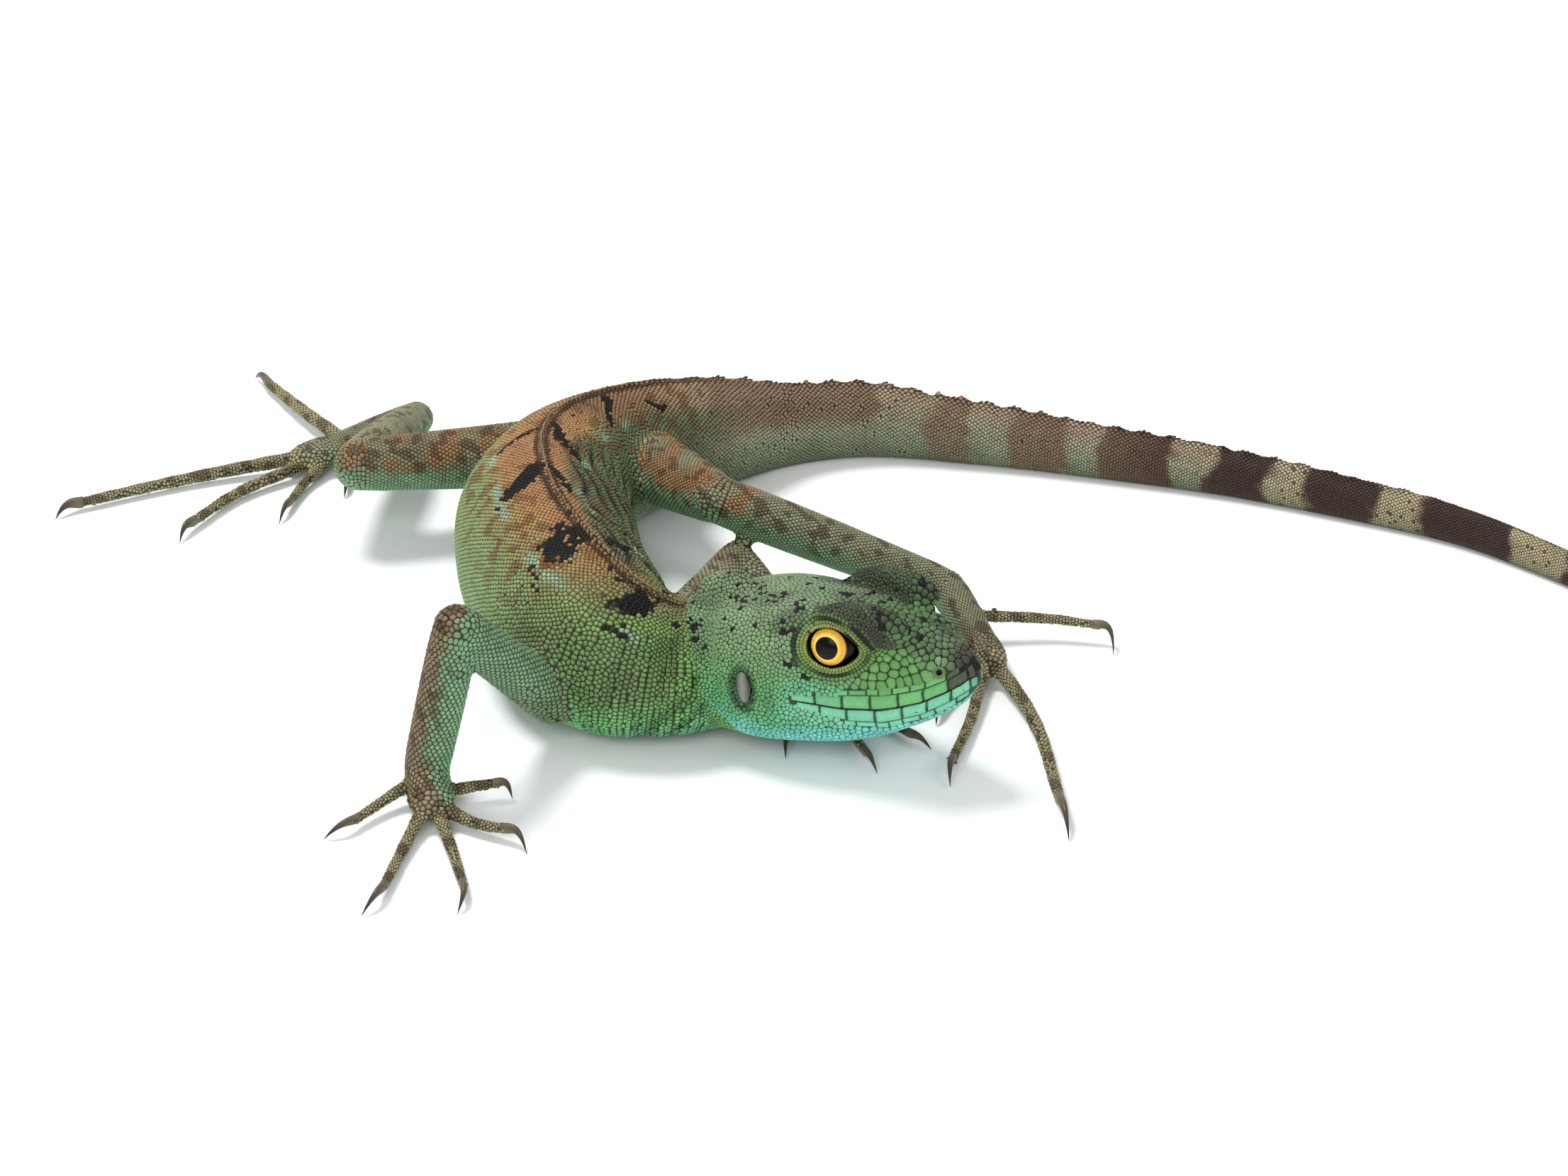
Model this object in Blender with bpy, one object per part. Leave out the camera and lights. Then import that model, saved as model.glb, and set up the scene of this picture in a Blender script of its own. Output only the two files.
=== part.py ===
# A young green basilisk as a still, life-size model: trunk curled, head raised,
# tail laid along the floor. Sizes are in millimetres, and MM turns them into metres.

import math

import bmesh
import bpy
import numpy as np
from mathutils import Matrix, Vector

MM = 0.001
GAP = 0.3  # between two nodes that meet
GROWTH = 1.15  # how much of a gap a node grows by to cut its neighbour
WELD = 1e-7  # metres
SHARP_ANGLE = 40
SIDES = ("right", "left")
SIGN = {"right": -1, "left": 1}  # the head's own Y axis points to its left

# The head is drawn in its own axes: X forward from the snout tip, Y left, Z up.
SNOUT_TIP = Vector((22.5, -44.4, 14))
HEAD_YAW = math.radians(-25)
HEAD_PITCH = math.radians(5)
HEAD_LENGTH = 30
HEAD_SIDES = 24
HEAD_STEP = 1.5
# distance behind the tip, half width, top, widest level, bottom
HEAD_ROWS = (
    (0, 1.0, 1.0, -0.1, -1.2),
    (0.8, 2.0, 2.2, -0.4, -2.6),
    (2.5, 3.0, 3.6, -0.8, -4.0),
    (5, 4.0, 5.2, -1.3, -5.6),
    (8, 4.9, 6.6, -1.8, -7.1),
    (11, 5.9, 7.5, -2.3, -8.4),
    (14, 6.9, 8.0, -2.8, -9.2),
    (18, 7.9, 8.3, -3.2, -9.7),
    (22, 8.9, 8.3, -3.6, -9.8),
    (26, 9.3, 7.8, -3.7, -9.8),
    (30, 8.8, 6.8, -3.5, -9.6),
)
HEAD_FULLNESS = (2.8, 3.1)  # above and below the widest level
# the line of the mouth: distance behind the tip, height
MOUTH_ROWS = (
    (-2, 0.9),
    (0.5, 0.3),
    (3, -1.0),
    (6, -2.4),
    (10, -3.3),
    (15, -3.0),
    (20.5, -2.1),
)
LIP_HEIGHT = 1.0
LIP_THICKNESS = 0.55
LIP_DEPTH = 0.3
EYE = {"at": (-16, 3.7, 4.0), "radius": 3.5, "aim": (0.12, 1, 0.22)}
LID = {"length": 3.25, "height": 2.6, "thickness": 0.55, "corner": 0.5, "pull": 0.16}
NOSTRIL = {"at": (-3.8, 2.9, 1.5), "rim": 0.75, "hole": 0.4}
EAR = {"at": (-26.3, 9.1, -1.3), "radii": (1.4, 1.1, 2.7), "drum": (1.0, 0.35, 2.1), "depth": 0.55}
BROW = {"at": (-12.3, 4.6, 7.1), "radii": (6.2, 1.9, 3.0)}
CANTHUS = {"at": (-7.4, 3.4, 3.6), "radii": (3.2, 1.2, 1.9)}  # ridge from brow to nostril
CASQUE = {"at": (-31.2, 0, 4.6), "radii": (5.0, 1.8, 4.3)}

# The body from the back of the head to the tail: place of the section's widest level,
# rise and drop from it, half width, and lean of the back towards the hollow side.
BODY_SIDES = 18
BODY_FULLNESS = (1.9, 2.4)
BODY_ROWS = (
    (-8.2, -30.8, 7.8, 7.4, 7.1, 8.7, 0),
    (-13.3, -31.7, 8.0, 7.8, 8.0, 9.4, 0),
    (-18.9, -30.9, 8.8, 9.8, 9.4, 10.8, 0),
    (-23.6, -26.3, 9.4, 11.2, 10.1, 11.5, 1),
    (-27.0, -18.3, 9.8, 11.7, 10.5, 11.6, 1),
    (-29.3, -8.5, 10.0, 11.6, 10.7, 11.7, 1),
    (-30.0, 2.0, 10.0, 11.1, 10.7, 11.4, 1),
    (-27.8, 11.0, 10.0, 10.4, 10.6, 9.9, 1),
    (-23.5, 17.5, 9.6, 9.7, 9.6, 7.9, 0),
    (-17.0, 23.5, 8.8, 8.9, 8.6, 6.6, 0),
    (-9.0, 29.3, 7.5, 7.5, 7.8, 5.4, 0),
)
TAIL_PLACES = (
    (0.5, 34.8),
    (9, 37.1),
    (25.8, 34.9),
    (42.3, 30.7),
    (58.5, 25.8),
    (74.2, 19.2),
    (89.2, 11.3),
)
TAIL_END = {"at": (100.7, 1.0), "heading": -42}
TAIL_BENDS = ((45, -10), (60, 27), (62, 35))  # length and turn of each stretch
TAIL_HOP = 15
# height of the tail at a distance along the body
TAIL_HEIGHTS = (
    (80, 13.4),
    (91, 12.3),
    (105, 11.2),
    (122, 9.2),
    (139, 7.8),
    (156, 7.0),
    (173, 6.2),
    (205, 5.0),
    (375, 0.9),
)
TAIL_WIDTH = 0.6  # share of its height
TAIL_LEVEL = 0.94  # share of its half height, so that it lies on a narrow flat
RING_STEP = 3.0
LINE_STEP = 0.5
BODY_ENDS = {
    "neck": 12,
    "torso_front": 33,
    "torso_rear": 56,
    "pelvis": 80,
    "tail_1": 118,
    "tail_2": 160,
    "tail_3": 205,
    "tail_4": 250,
    "tail_5": 300,
    "tail_6": 1000,
}
CREST = {"pitch": 3.6, "thickness": 0.9, "root": 1.2, "start": 16, "end": 190, "valley": 0.35}
# height of the crest at a distance along the body
CREST_HEIGHTS = ((16, 0.3), (30, 0.6), (70, 0.8), (95, 1.0), (125, 0.9), (190, 0.3))

# Limbs: joints, radii at and between them, and radii of the palm or sole.
LIMB_SIDES = 14
LIMBS = {
    "arm_right": {
        "trunk": ("neck", "torso_front", "torso_rear"),
        "names": ("upper_arm_right", "forearm_right", "hand_right"),
        "joints": (
            (-27.4, -36.6, 6.4),
            (-37.0, -46.4, 21.6),
            (-41.2, -48.0, 4.0),
            (-40.4, -52.2, 2.3),
        ),
        "radii": ((3.5, 3.1, 2.9), (2.9, 2.95, 2.8)),
        "palm": (3.4, 2.9, 1.6),
    },
    "arm_left": {
        "trunk": ("neck", "torso_front", "torso_rear"),
        "names": ("upper_arm_left", "forearm_left", "hand_left"),
        "joints": (
            (-13.0, -27.0, 9.0),
            (-5.9, -8.5, 9.0),
            (2.5, -21.5, 3.4),
            (4.6, -25.5, 1.9),
        ),
        "radii": ((4.0, 3.1, 2.5), (2.5, 2.6, 2.1)),
        "palm": (3.0, 2.8, 1.4),
    },
    "leg_right": {
        "trunk": ("torso_rear", "pelvis", "tail_1"),
        "names": ("thigh_right", "shank_right", "foot_right"),
        "joints": (
            (-25, 20, 9.5),
            (-55, 12, 11.5),
            (-50.6, 38.2, 4.8),
            (-61.5, 33.4, 2.6),
        ),
        "radii": ((5.2, 4.3, 3.6), (3.6, 3.5, 2.6)),
        "palm": (6.6, 3.1, 1.8),
    },
    "leg_left": {
        "trunk": ("torso_rear", "pelvis", "tail_1"),
        "names": ("thigh_left", "shank_left", "foot_left"),
        "joints": (
            (-19, 18, 9),
            (-8.3, -4.6, 15.4),
            (20.4, -8.0, 4.6),
            (24.4, -18.6, 2.7),
        ),
        "radii": ((5.2, 4.4, 3.3), (3.3, 3.15, 2.6)),
        "palm": (6.0, 2.3, 1.7),
    },
}
# Digits: points from the knuckle to the root of the claw, tip of the claw, root radius.
DIGIT_SIDES = 7
DIGIT_STEP = 2.2
DIGIT_TAPER = (1.0, 0.86, 0.68)
PAD_SWELL = 0.04  # how far the pads under the toes stand out and in
CLAW_SIDES = 6
CLAW_ROOT = 0.82  # share of the toe's tip radius
CLAW_POINT = 0.12
CLAW_ARCH = 0.55
DIGITS = {
    "hand_right": (
        (((-39.0, -50.4, 2.1), (-35.2, -49.0, 2.0), (-32.8, -48.5, 2.1)), (-31.4, -48.9), 0.9),
        (((-39.0, -53.2, 1.9), (-35.1, -55.8, 1.3), (-31.1, -57.6, 1.8)), (-29.0, -60.1), 0.95),
        (((-39.6, -54.0, 1.9), (-37.7, -59.5, 1.2), (-35.3, -68.4, 1.4)), (-35.8, -71.8), 0.95),
        (((-41.2, -54.0, 1.9), (-42.8, -60.4, 1.1), (-44.3, -68.6, 1.4)), (-46.3, -72.1), 0.95),
        (((-42.4, -48.8, 2.7), (-45.9, -51.7, 1.7), (-48.9, -55.3, 1.4)), (-52.2, -57.2), 0.9),
    ),
    "hand_left": (
        (((3.6, -25.4, 1.5), (0.2, -27.6, 0.9), (-2.2, -29.8, 1.0)), (-3.8, -32.0), 0.85),
        (((4.0, -26.8, 1.5), (1.7, -32.5, 0.8), (0.4, -37.2, 1.0)), (0.2, -40.4), 0.85),
        (((5.2, -27.4, 1.5), (7.6, -34.7, 0.9), (9.6, -40.6, 1.2)), (10.9, -43.6), 0.9),
        (((6.0, -26.6, 1.5), (11.2, -32.1, 1.0), (15.2, -36.8, 1.2)), (17.4, -38.4), 0.9),
        (((6.0, -25.0, 1.5), (9.4, -25.4, 1.1), (12.0, -26.2, 1.1)), (13.8, -27.6), 0.85),
    ),
    "foot_right": (
        (((-59.5, 31.6, 1.9), (-58.9, 28.2, 1.3), (-58.9, 26.4, 1.3)), (-59.1, 23.9), 0.85),
        (((-62.2, 31.2, 1.9), (-64.8, 25.8, 1.2), (-66.0, 20.4, 1.3)), (-66.9, 16.6), 0.9),
        (((-63.4, 31.8, 1.9), (-73.5, 23.1, 1.2), (-78.2, 14.8, 1.4)), (-79.3, 11.6), 1.05),
        (((-63.8, 33.0, 2.1), (-79.5, 27.8, 1.3), (-94.4, 20.5, 1.2)), (-96.8, 18.0), 1.15),
        (((-59.5, 35.2, 2.4), (-68.4, 47.7, 2.0), (-73.6, 56.2, 1.4)), (-76.0, 60.2), 1.15),
    ),
    "foot_left": (
        (((23.4, -18.4, 1.9), (19.4, -21.2, 1.1), (17.2, -23.6, 1.2)), (16.0, -26.2), 0.9),
        (((23.8, -20.2, 1.9), (20.8, -26.4, 1.1), (18.8, -30.6, 1.2)), (18.2, -33.2), 0.9),
        (((24.4, -22.4, 1.9), (22.4, -33.0, 1.2), (19.6, -43.0, 1.5)), (19.3, -46.4), 0.95),
        (((25.2, -20.6, 2.2), (29.3, -31.7, 1.4), (31.7, -51.8, 1.7)), (32.3, -57.6), 1.15),
        (((24.2, -13.0, 3.5), (32.7, -12.8, 3.0), (39.2, -13.7, 2.6)), (40.8, -16.9), 0.9),
    ),
}

COLOURS = {
    "head": (0.30, 0.50, 0.30),
    "jaw": (0.36, 0.66, 0.58),
    "eye": (0.85, 0.52, 0.10),
    "ear": (0.42, 0.42, 0.36),
    "neck": (0.40, 0.50, 0.24),
    "torso": (0.48, 0.42, 0.24),
    "tail": (0.36, 0.34, 0.24),
    "limb": (0.33, 0.38, 0.24),
    "claw": (0.12, 0.10, 0.09),
}


def start_scene():
    for obj in list(bpy.data.objects):
        bpy.data.objects.remove(obj)
    for name in ("basilisk", "cutters"):
        group = bpy.data.collections.new(name)
        bpy.context.scene.collection.children.link(group)
    bpy.data.collections["cutters"].hide_render = True


def make_material(name):
    material = bpy.data.materials.new(name)
    material.use_nodes = True
    shader = material.node_tree.nodes["Principled BSDF"]
    shader.inputs["Base Color"].default_value = (*COLOURS[name], 1)
    shader.inputs["Roughness"].default_value = 0.15 if name == "eye" else 0.55
    shader.inputs["Metallic"].default_value = 0
    return material


def add_object(name, mesh):
    obj = bpy.data.objects.new(name, mesh)
    obj.display_type = "WIRE"
    bpy.data.collections["cutters"].objects.link(obj)
    return obj


def object_from(name, bm):
    bmesh.ops.recalc_face_normals(bm, faces=bm.faces)
    mesh = bpy.data.meshes.new(name)
    bm.to_mesh(mesh)
    bm.free()
    return add_object(name, mesh)


# Smooth lines and the sections along them.


def smooth_rows(rows, step):
    # rows at even steps along the smooth line through the first three columns
    rows = np.array(rows, float)
    at = np.concatenate([[0], np.cumsum(np.linalg.norm(np.diff(rows[:, :3], axis=0), axis=1))])
    slope = np.gradient(rows, at, axis=0)
    fine = np.linspace(0, at[-1], 40 * len(rows))
    k = np.clip(np.searchsorted(at, fine, side="right") - 1, 0, len(at) - 2)
    hop = (at[k + 1] - at[k])[:, None]
    u = ((fine - at[k]) / hop[:, 0])[:, None]
    line = (2 * u**3 - 3 * u**2 + 1) * rows[k] + (3 * u**2 - 2 * u**3) * rows[k + 1]
    line += (u**3 - 2 * u**2 + u) * hop * slope[k] + (u**3 - u**2) * hop * slope[k + 1]
    along = np.concatenate([[0], np.cumsum(np.linalg.norm(np.diff(line[:, :3], axis=0), axis=1))])
    count = max(2, round(along[-1] / step) + 1)
    return rows_at(along, line, np.linspace(0, along[-1], count))


def rows_at(along, line, places):
    return np.array([[np.interp(p, along, column) for column in line.T] for p in places])


def unit(vectors):
    return vectors / np.linalg.norm(vectors, axis=-1, keepdims=True)


def section(centre, across, up, half_width, rise, drop, fullness, sides):
    # fullness is 2 for an ellipse and more for a squarer section, above and below
    turn = np.arange(sides) * 2 * math.pi / sides + math.pi / 2
    c, s = np.cos(turn), np.sin(turn)
    power = 2 / np.where(s > 0, *fullness)
    x = half_width * np.sign(c) * np.abs(c) ** power
    z = np.where(s > 0, rise, drop) * np.sign(s) * np.abs(s) ** power
    return centre + np.outer(x, across) + np.outer(z, up)


def circle(centre, across, up, radius, sides):
    return section(centre, across, up, radius, radius, radius, (2, 2), sides)


def loft(name, rings, on_floor=True, closed=False):
    # skin over sections of equal count; what would pass below the floor lies flat on it
    bm = bmesh.new()
    loops = []
    for ring in rings:
        points = np.array(ring)
        if on_floor:
            points[:, 2] = np.maximum(points[:, 2], 0)
        loops.append([bm.verts.new(Vector(p) * MM) for p in points])
    pairs = list(zip(loops, loops[1:]))
    if closed:
        pairs.append((loops[-1], loops[0]))
    for first, second in pairs:
        for i, vert in enumerate(first):
            j = (i + 1) % len(first)
            bm.faces.new((vert, first[j], second[j], second[i]))
    if not closed:
        bm.faces.new(loops[0])
        bm.faces.new(loops[-1])
    return object_from(name, bm)


def tube(name, rows, sides, reference=(0, 0, 1)):
    # rows are place and radius; the reference is never along the line
    rows = np.array(rows)
    along = unit(np.gradient(rows[:, :3], axis=0))
    across = unit(np.cross(along, np.array(reference, float)))
    up = np.cross(across, along)
    return loft(name, [circle(row[:3], a, u, row[3], sides) for row, a, u in zip(rows, across, up)])


def ball(name, centre, radii, turn=None, segments=16, rings=10):
    bm = bmesh.new()
    bmesh.ops.create_uvsphere(bm, u_segments=segments, v_segments=rings, radius=1)
    matrix = Matrix.Translation(Vector(centre) * MM)
    if turn:
        matrix = matrix @ turn
    matrix = matrix @ Matrix.Diagonal((*(Vector(radii) * MM), 1))
    bmesh.ops.transform(bm, matrix=matrix, verts=bm.verts)
    return object_from(name, bm)


# Joining, cutting and keeping one closed body.


def baked(obj):
    graph = bpy.context.evaluated_depsgraph_get()
    mesh = bpy.data.meshes.new_from_object(obj.evaluated_get(graph))
    obj.modifiers.clear()
    obj.data = mesh
    return obj


def boolean(obj, others, operation):
    if not others:
        return obj
    group = bpy.data.collections.new("group")
    bpy.context.scene.collection.children.link(group)
    for other in others:
        group.objects.link(other)
    modifier = obj.modifiers.new(operation.lower(), "BOOLEAN")
    modifier.operation = operation
    modifier.solver = "EXACT"
    modifier.operand_type = "COLLECTION"
    modifier.collection = group
    baked(obj)
    bpy.data.collections.remove(group)
    return obj


def drop_objects(objects):
    for obj in objects:
        bpy.data.objects.remove(obj)


def surfaces(bm):
    # the connected surfaces of a mesh, each as a list of faces
    left = set(bm.faces)
    while left:
        stack = [left.pop()]
        found = list(stack)
        while stack:
            for edge in stack.pop().edges:
                for face in edge.link_faces:
                    if face in left:
                        left.discard(face)
                        stack.append(face)
                        found.append(face)
        yield found


def keep_largest(obj):
    bm = bmesh.new()
    bm.from_mesh(obj.data)
    bmesh.ops.remove_doubles(bm, verts=bm.verts, dist=WELD)
    found = sorted(surfaces(bm), key=lambda faces: sum(face.calc_area() for face in faces))
    scraps = [face for faces in found[:-1] for face in faces]
    bmesh.ops.delete(bm, geom=scraps, context="FACES")
    bm.to_mesh(obj.data)
    bm.free()
    return obj


def joined(name, pieces, cutters=()):
    body = boolean(pieces[0], pieces[1:], "UNION")
    boolean(body, list(cutters), "DIFFERENCE")
    drop_objects(pieces[1:])
    body.name = name
    return keep_largest(body)


def cut_by_plane(obj, place, normal):
    # keeps the side that the normal leaves, and closes the cut
    bm = bmesh.new()
    bm.from_mesh(obj.data)
    geometry = bm.verts[:] + bm.edges[:] + bm.faces[:]
    bmesh.ops.bisect_plane(
        bm, geom=geometry, plane_co=Vector(place) * MM, plane_no=normal, clear_outer=True, dist=WELD
    )
    bmesh.ops.holes_fill(bm, edges=[edge for edge in bm.edges if edge.is_boundary], sides=0)
    bm.to_mesh(obj.data)
    bm.free()
    return obj


def finish(obj, name, colour):
    # a finished node: triangles, its material, and a place in the model's collection
    bm = bmesh.new()
    bm.from_mesh(obj.data)
    bmesh.ops.triangulate(bm, faces=bm.faces)
    bmesh.ops.recalc_face_normals(bm, faces=bm.faces)
    bm.to_mesh(obj.data)
    bm.free()
    obj.name = name
    obj.data.name = name
    obj.data.materials.clear()
    obj.data.materials.append(bpy.data.materials[colour])
    obj.data.shade_smooth()
    obj.data.set_sharp_from_angle(angle=math.radians(SHARP_ANGLE))
    obj.display_type = "SOLID"
    bpy.data.collections["cutters"].objects.unlink(obj)
    bpy.data.collections["basilisk"].objects.link(obj)


# Body and tail


def tail_height(distance):
    return np.interp(distance, *zip(*TAIL_HEIGHTS))


def body_table():
    _, half, top, level, bottom = HEAD_ROWS[-1]
    rows = [(*head_point(-HEAD_LENGTH, 0, level), top - level, level - bottom, half, 0)]
    rows += BODY_ROWS
    places = list(TAIL_PLACES) + [TAIL_END["at"]]
    x, y = TAIL_END["at"]
    heading = TAIL_END["heading"]
    for length, turn in TAIL_BENDS:
        hops = round(length / TAIL_HOP)
        for _ in range(hops):
            heading += turn / hops
            x += length / hops * math.cos(math.radians(heading))
            y += length / hops * math.sin(math.radians(heading))
            places.append((x, y))
    distance = path_length(rows)
    last = rows[-1]
    for place in places:
        distance += math.dist(last[:2], place)
        half = tail_height(distance) / 2
        last = (*place, half * TAIL_LEVEL, half, half, half * TAIL_WIDTH, 0)
        rows.append(last)
    return rows


def path_length(rows):
    return sum(math.dist(a[:3], b[:3]) for a, b in zip(rows, rows[1:]))


def body_line():
    rows = smooth_rows(body_table(), LINE_STEP)
    along = np.concatenate([[0], np.cumsum(np.linalg.norm(np.diff(rows[:, :3], axis=0), axis=1))])
    return along, rows


def body_frames(line, places):
    # rows, and the directions across and up, at distances along the body
    along, rows = line
    found = rows_at(along, rows, places)
    ahead = rows_at(along, rows, np.asarray(places) + 0.4)
    behind = rows_at(along, rows, np.asarray(places) - 0.4)
    forward = unit(ahead[:, :3] - behind[:, :3])
    across = unit(np.cross(forward, (0, 0, 1)))
    up = np.cross(across, forward)
    lean = np.radians(found[:, 6])[:, None]
    return found, across * np.cos(lean) - up * np.sin(lean), up * np.cos(lean) + across * np.sin(lean)


def body_rings(line, start, end):
    count = max(2, round((end - start) / RING_STEP) + 1)
    rows, across, up = body_frames(line, np.linspace(start, end, count))
    return [
        section(row[:3], a, u, row[5], row[3], row[4], BODY_FULLNESS, BODY_SIDES)
        for row, a, u in zip(rows, across, up)
    ]


def crest(line, name, start, end):
    # a thin serrated fold along the ridge, its root sunk in the back
    step = CREST["pitch"] / 2
    first = math.ceil(start / step)
    last = math.floor(end / step)
    places = np.array([start] + [k * step for k in range(first, last + 1)] + [end])
    places = np.unique(np.round(places, 3))
    rows, across, up = body_frames(line, places)
    rings = []
    for place, row, a, u in zip(places, rows, across, up):
        tall = np.interp(place, *zip(*CREST_HEIGHTS))
        peak = abs((place / step) % 2 - 1)
        height = row[3] + tall * (CREST["valley"] + (1 - CREST["valley"]) * peak)
        half = a * CREST["thickness"] / 2
        foot = row[:3] + u * (row[3] - CREST["root"])
        top = row[:3] + u * height
        rings.append([foot + half, top + half * 0.55, top - half * 0.55, foot - half])
    return loft(name, rings)


def make_body(line):
    start = GAP
    total = line[0][-1]
    for name, end in BODY_ENDS.items():
        stop = min(end, total)
        rings = body_rings(line, start, stop - (GAP if end < total else 0))
        if name == "neck":
            # the first turn is sharp, so one ring parallel to the head's back stands for two
            rings[:2] = [head_back(GAP, BODY_SIDES)]
        body = loft(name, rings)
        low, high = max(start + 0.5, CREST["start"]), min(stop - 0.8, CREST["end"])
        pieces = [body]
        if high - low > CREST["pitch"]:
            pieces.append(crest(line, "crest", low, high))
        colour = name.split("_")[0]
        finish(joined(name, pieces), name, {"pelvis": "torso"}.get(colour, colour))
        start = stop


# Head


def head_axes():
    turn = Matrix.Rotation(HEAD_YAW, 3, "Z") @ Matrix.Rotation(-HEAD_PITCH, 3, "Y")
    return turn


def head_point(x, y, z):
    return SNOUT_TIP + head_axes() @ Vector((x, y, z))


def head_row(behind):
    return [np.interp(behind, [r[0] for r in HEAD_ROWS], column) for column in zip(*HEAD_ROWS)]


def head_side(behind, height):
    # half width of the head at a height
    _, half, top, level, bottom = head_row(behind)
    above = height > level
    fullness = HEAD_FULLNESS[0] if above else HEAD_FULLNESS[1]
    reach = (top - level) if above else (level - bottom)
    share = min(1, abs(height - level) / reach)
    return half * (1 - share**fullness) ** (1 / fullness)


def head_loft():
    turn = np.array(head_axes())
    tip = np.array(SNOUT_TIP)
    rings = []
    rows = [(-r[0], 0, r[3], r[1], r[2] - r[3], r[3] - r[4]) for r in HEAD_ROWS]
    for row in smooth_rows(rows, HEAD_STEP):
        centre = tip + turn @ row[:3]
        rings.append(section(centre, turn[:, 1], turn[:, 2], *row[3:6], HEAD_FULLNESS, HEAD_SIDES))
    return loft("head", rings, on_floor=False)


def head_back(gap, sides):
    # the section at the back of the head, or a gap behind it
    turn = np.array(head_axes())
    _, half, top, level, bottom = HEAD_ROWS[-1]
    centre = np.array(head_point(-HEAD_LENGTH - gap, 0, level))
    spread = (half, top - level, level - bottom)
    return section(centre, turn[:, 1], turn[:, 2], *spread, HEAD_FULLNESS, sides)


def mouth_height(behind):
    return np.interp(behind, *zip(*MOUTH_ROWS))


def mouth_block(gap):
    # all that lies below the line of the mouth and ahead of its corner
    curve = bpy.data.curves.new("mouth", "CURVE")
    curve.dimensions = "2D"
    curve.fill_mode = "BOTH"
    curve.extrude = 14 * MM
    corner = MOUTH_ROWS[-1][0] - gap
    edge = [(-b, mouth_height(b) - gap) for b in np.linspace(MOUTH_ROWS[0][0], corner, 12)]
    outline = edge + [(-corner, -16), (4, -16), (4, edge[0][1])]
    spline = curve.splines.new("POLY")
    spline.points.add(len(outline) - 1)
    for point, (x, z) in zip(spline.points, outline):
        point.co = (x * MM, z * MM, 0, 1)
    spline.use_cyclic_u = True
    guide = bpy.data.objects.new("mouth", curve)
    bpy.context.scene.collection.objects.link(guide)
    upright = Matrix.Rotation(math.radians(90), 4, "X")
    turn = Matrix.Translation(SNOUT_TIP * MM) @ head_axes().to_4x4() @ upright
    graph = bpy.context.evaluated_depsgraph_get()
    bm = bmesh.new()
    bm.from_mesh(bpy.data.meshes.new_from_object(guide.evaluated_get(graph)))
    bpy.data.objects.remove(guide)
    bmesh.ops.remove_doubles(bm, verts=bm.verts, dist=WELD)
    bmesh.ops.transform(bm, matrix=turn, verts=bm.verts)
    return object_from("mouth", bm)


def lip(lift):
    # a low roll beside the line of the mouth, round the snout from corner to corner
    behind = np.linspace(MOUTH_ROWS[-1][0] - 0.8, 1.2, 13)
    rows = []
    for sign in (-1, 1):
        side = []
        for b in behind:
            z = mouth_height(b) + lift
            y = sign * (head_side(b, z) - LIP_DEPTH)
            side.append((*head_point(-b, y, z), LIP_THICKNESS))
        rows += side if sign < 0 else side[::-1]
    front = head_point(-0.1, 0, mouth_height(0.3) + lift * 0.8)
    rows.insert(len(behind), (*front, LIP_THICKNESS))
    return tube("lip", rows, 8)


def eye_frame(side):
    sign = SIGN[side]
    turn = head_axes()
    x, y, z = EYE["at"]
    aim = Vector(EYE["aim"])
    out = (turn @ Vector((aim.x, aim.y * sign, aim.z))).normalized()
    ahead = (turn @ Vector((1, 0, 0)))
    ahead = (ahead - out * ahead.dot(out)).normalized()
    up = ahead.cross(out) * -sign
    return head_point(x, y * sign, z), out, ahead, up


def lids(side):
    # the rim of the almond eye opening, lying on the eyeball
    centre, out, ahead, up = eye_frame(side)
    ball_radius = EYE["radius"] + 0.25
    rings = []
    for turn in np.linspace(0, 2 * math.pi, 16, endpoint=False):
        pull = 1 + LID["pull"] * max(0, math.cos(turn)) ** 6
        u = LID["length"] * math.cos(turn) * pull
        v = LID["height"] * math.sin(turn) - LID["corner"] * max(0, math.cos(turn)) ** 3
        depth = math.sqrt(max(0.3, ball_radius**2 - u * u - v * v))
        rim = centre + ahead * u + up * v + out * depth
        away = (ahead * u + up * v).normalized()
        rings.append(circle(np.array(rim), np.array(away), np.array(out), LID["thickness"], 5))
    return loft("lids", rings, on_floor=False, closed=True)


def head_ball(name, spec, side, radii, segments=14, rings=8, shift=0.0):
    x, y, z = spec["at"]
    centre = head_point(x, (y + shift) * SIGN[side], z)
    return ball(name, centre, radii, head_axes().to_4x4(), segments, rings)


def nostril_rim(side):
    x, y, z = NOSTRIL["at"]
    centre = head_point(x, (y - 0.25) * SIGN[side], z)
    return ball("rim", centre, [NOSTRIL["rim"]] * 3, head_axes().to_4x4(), 8, 5)


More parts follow.
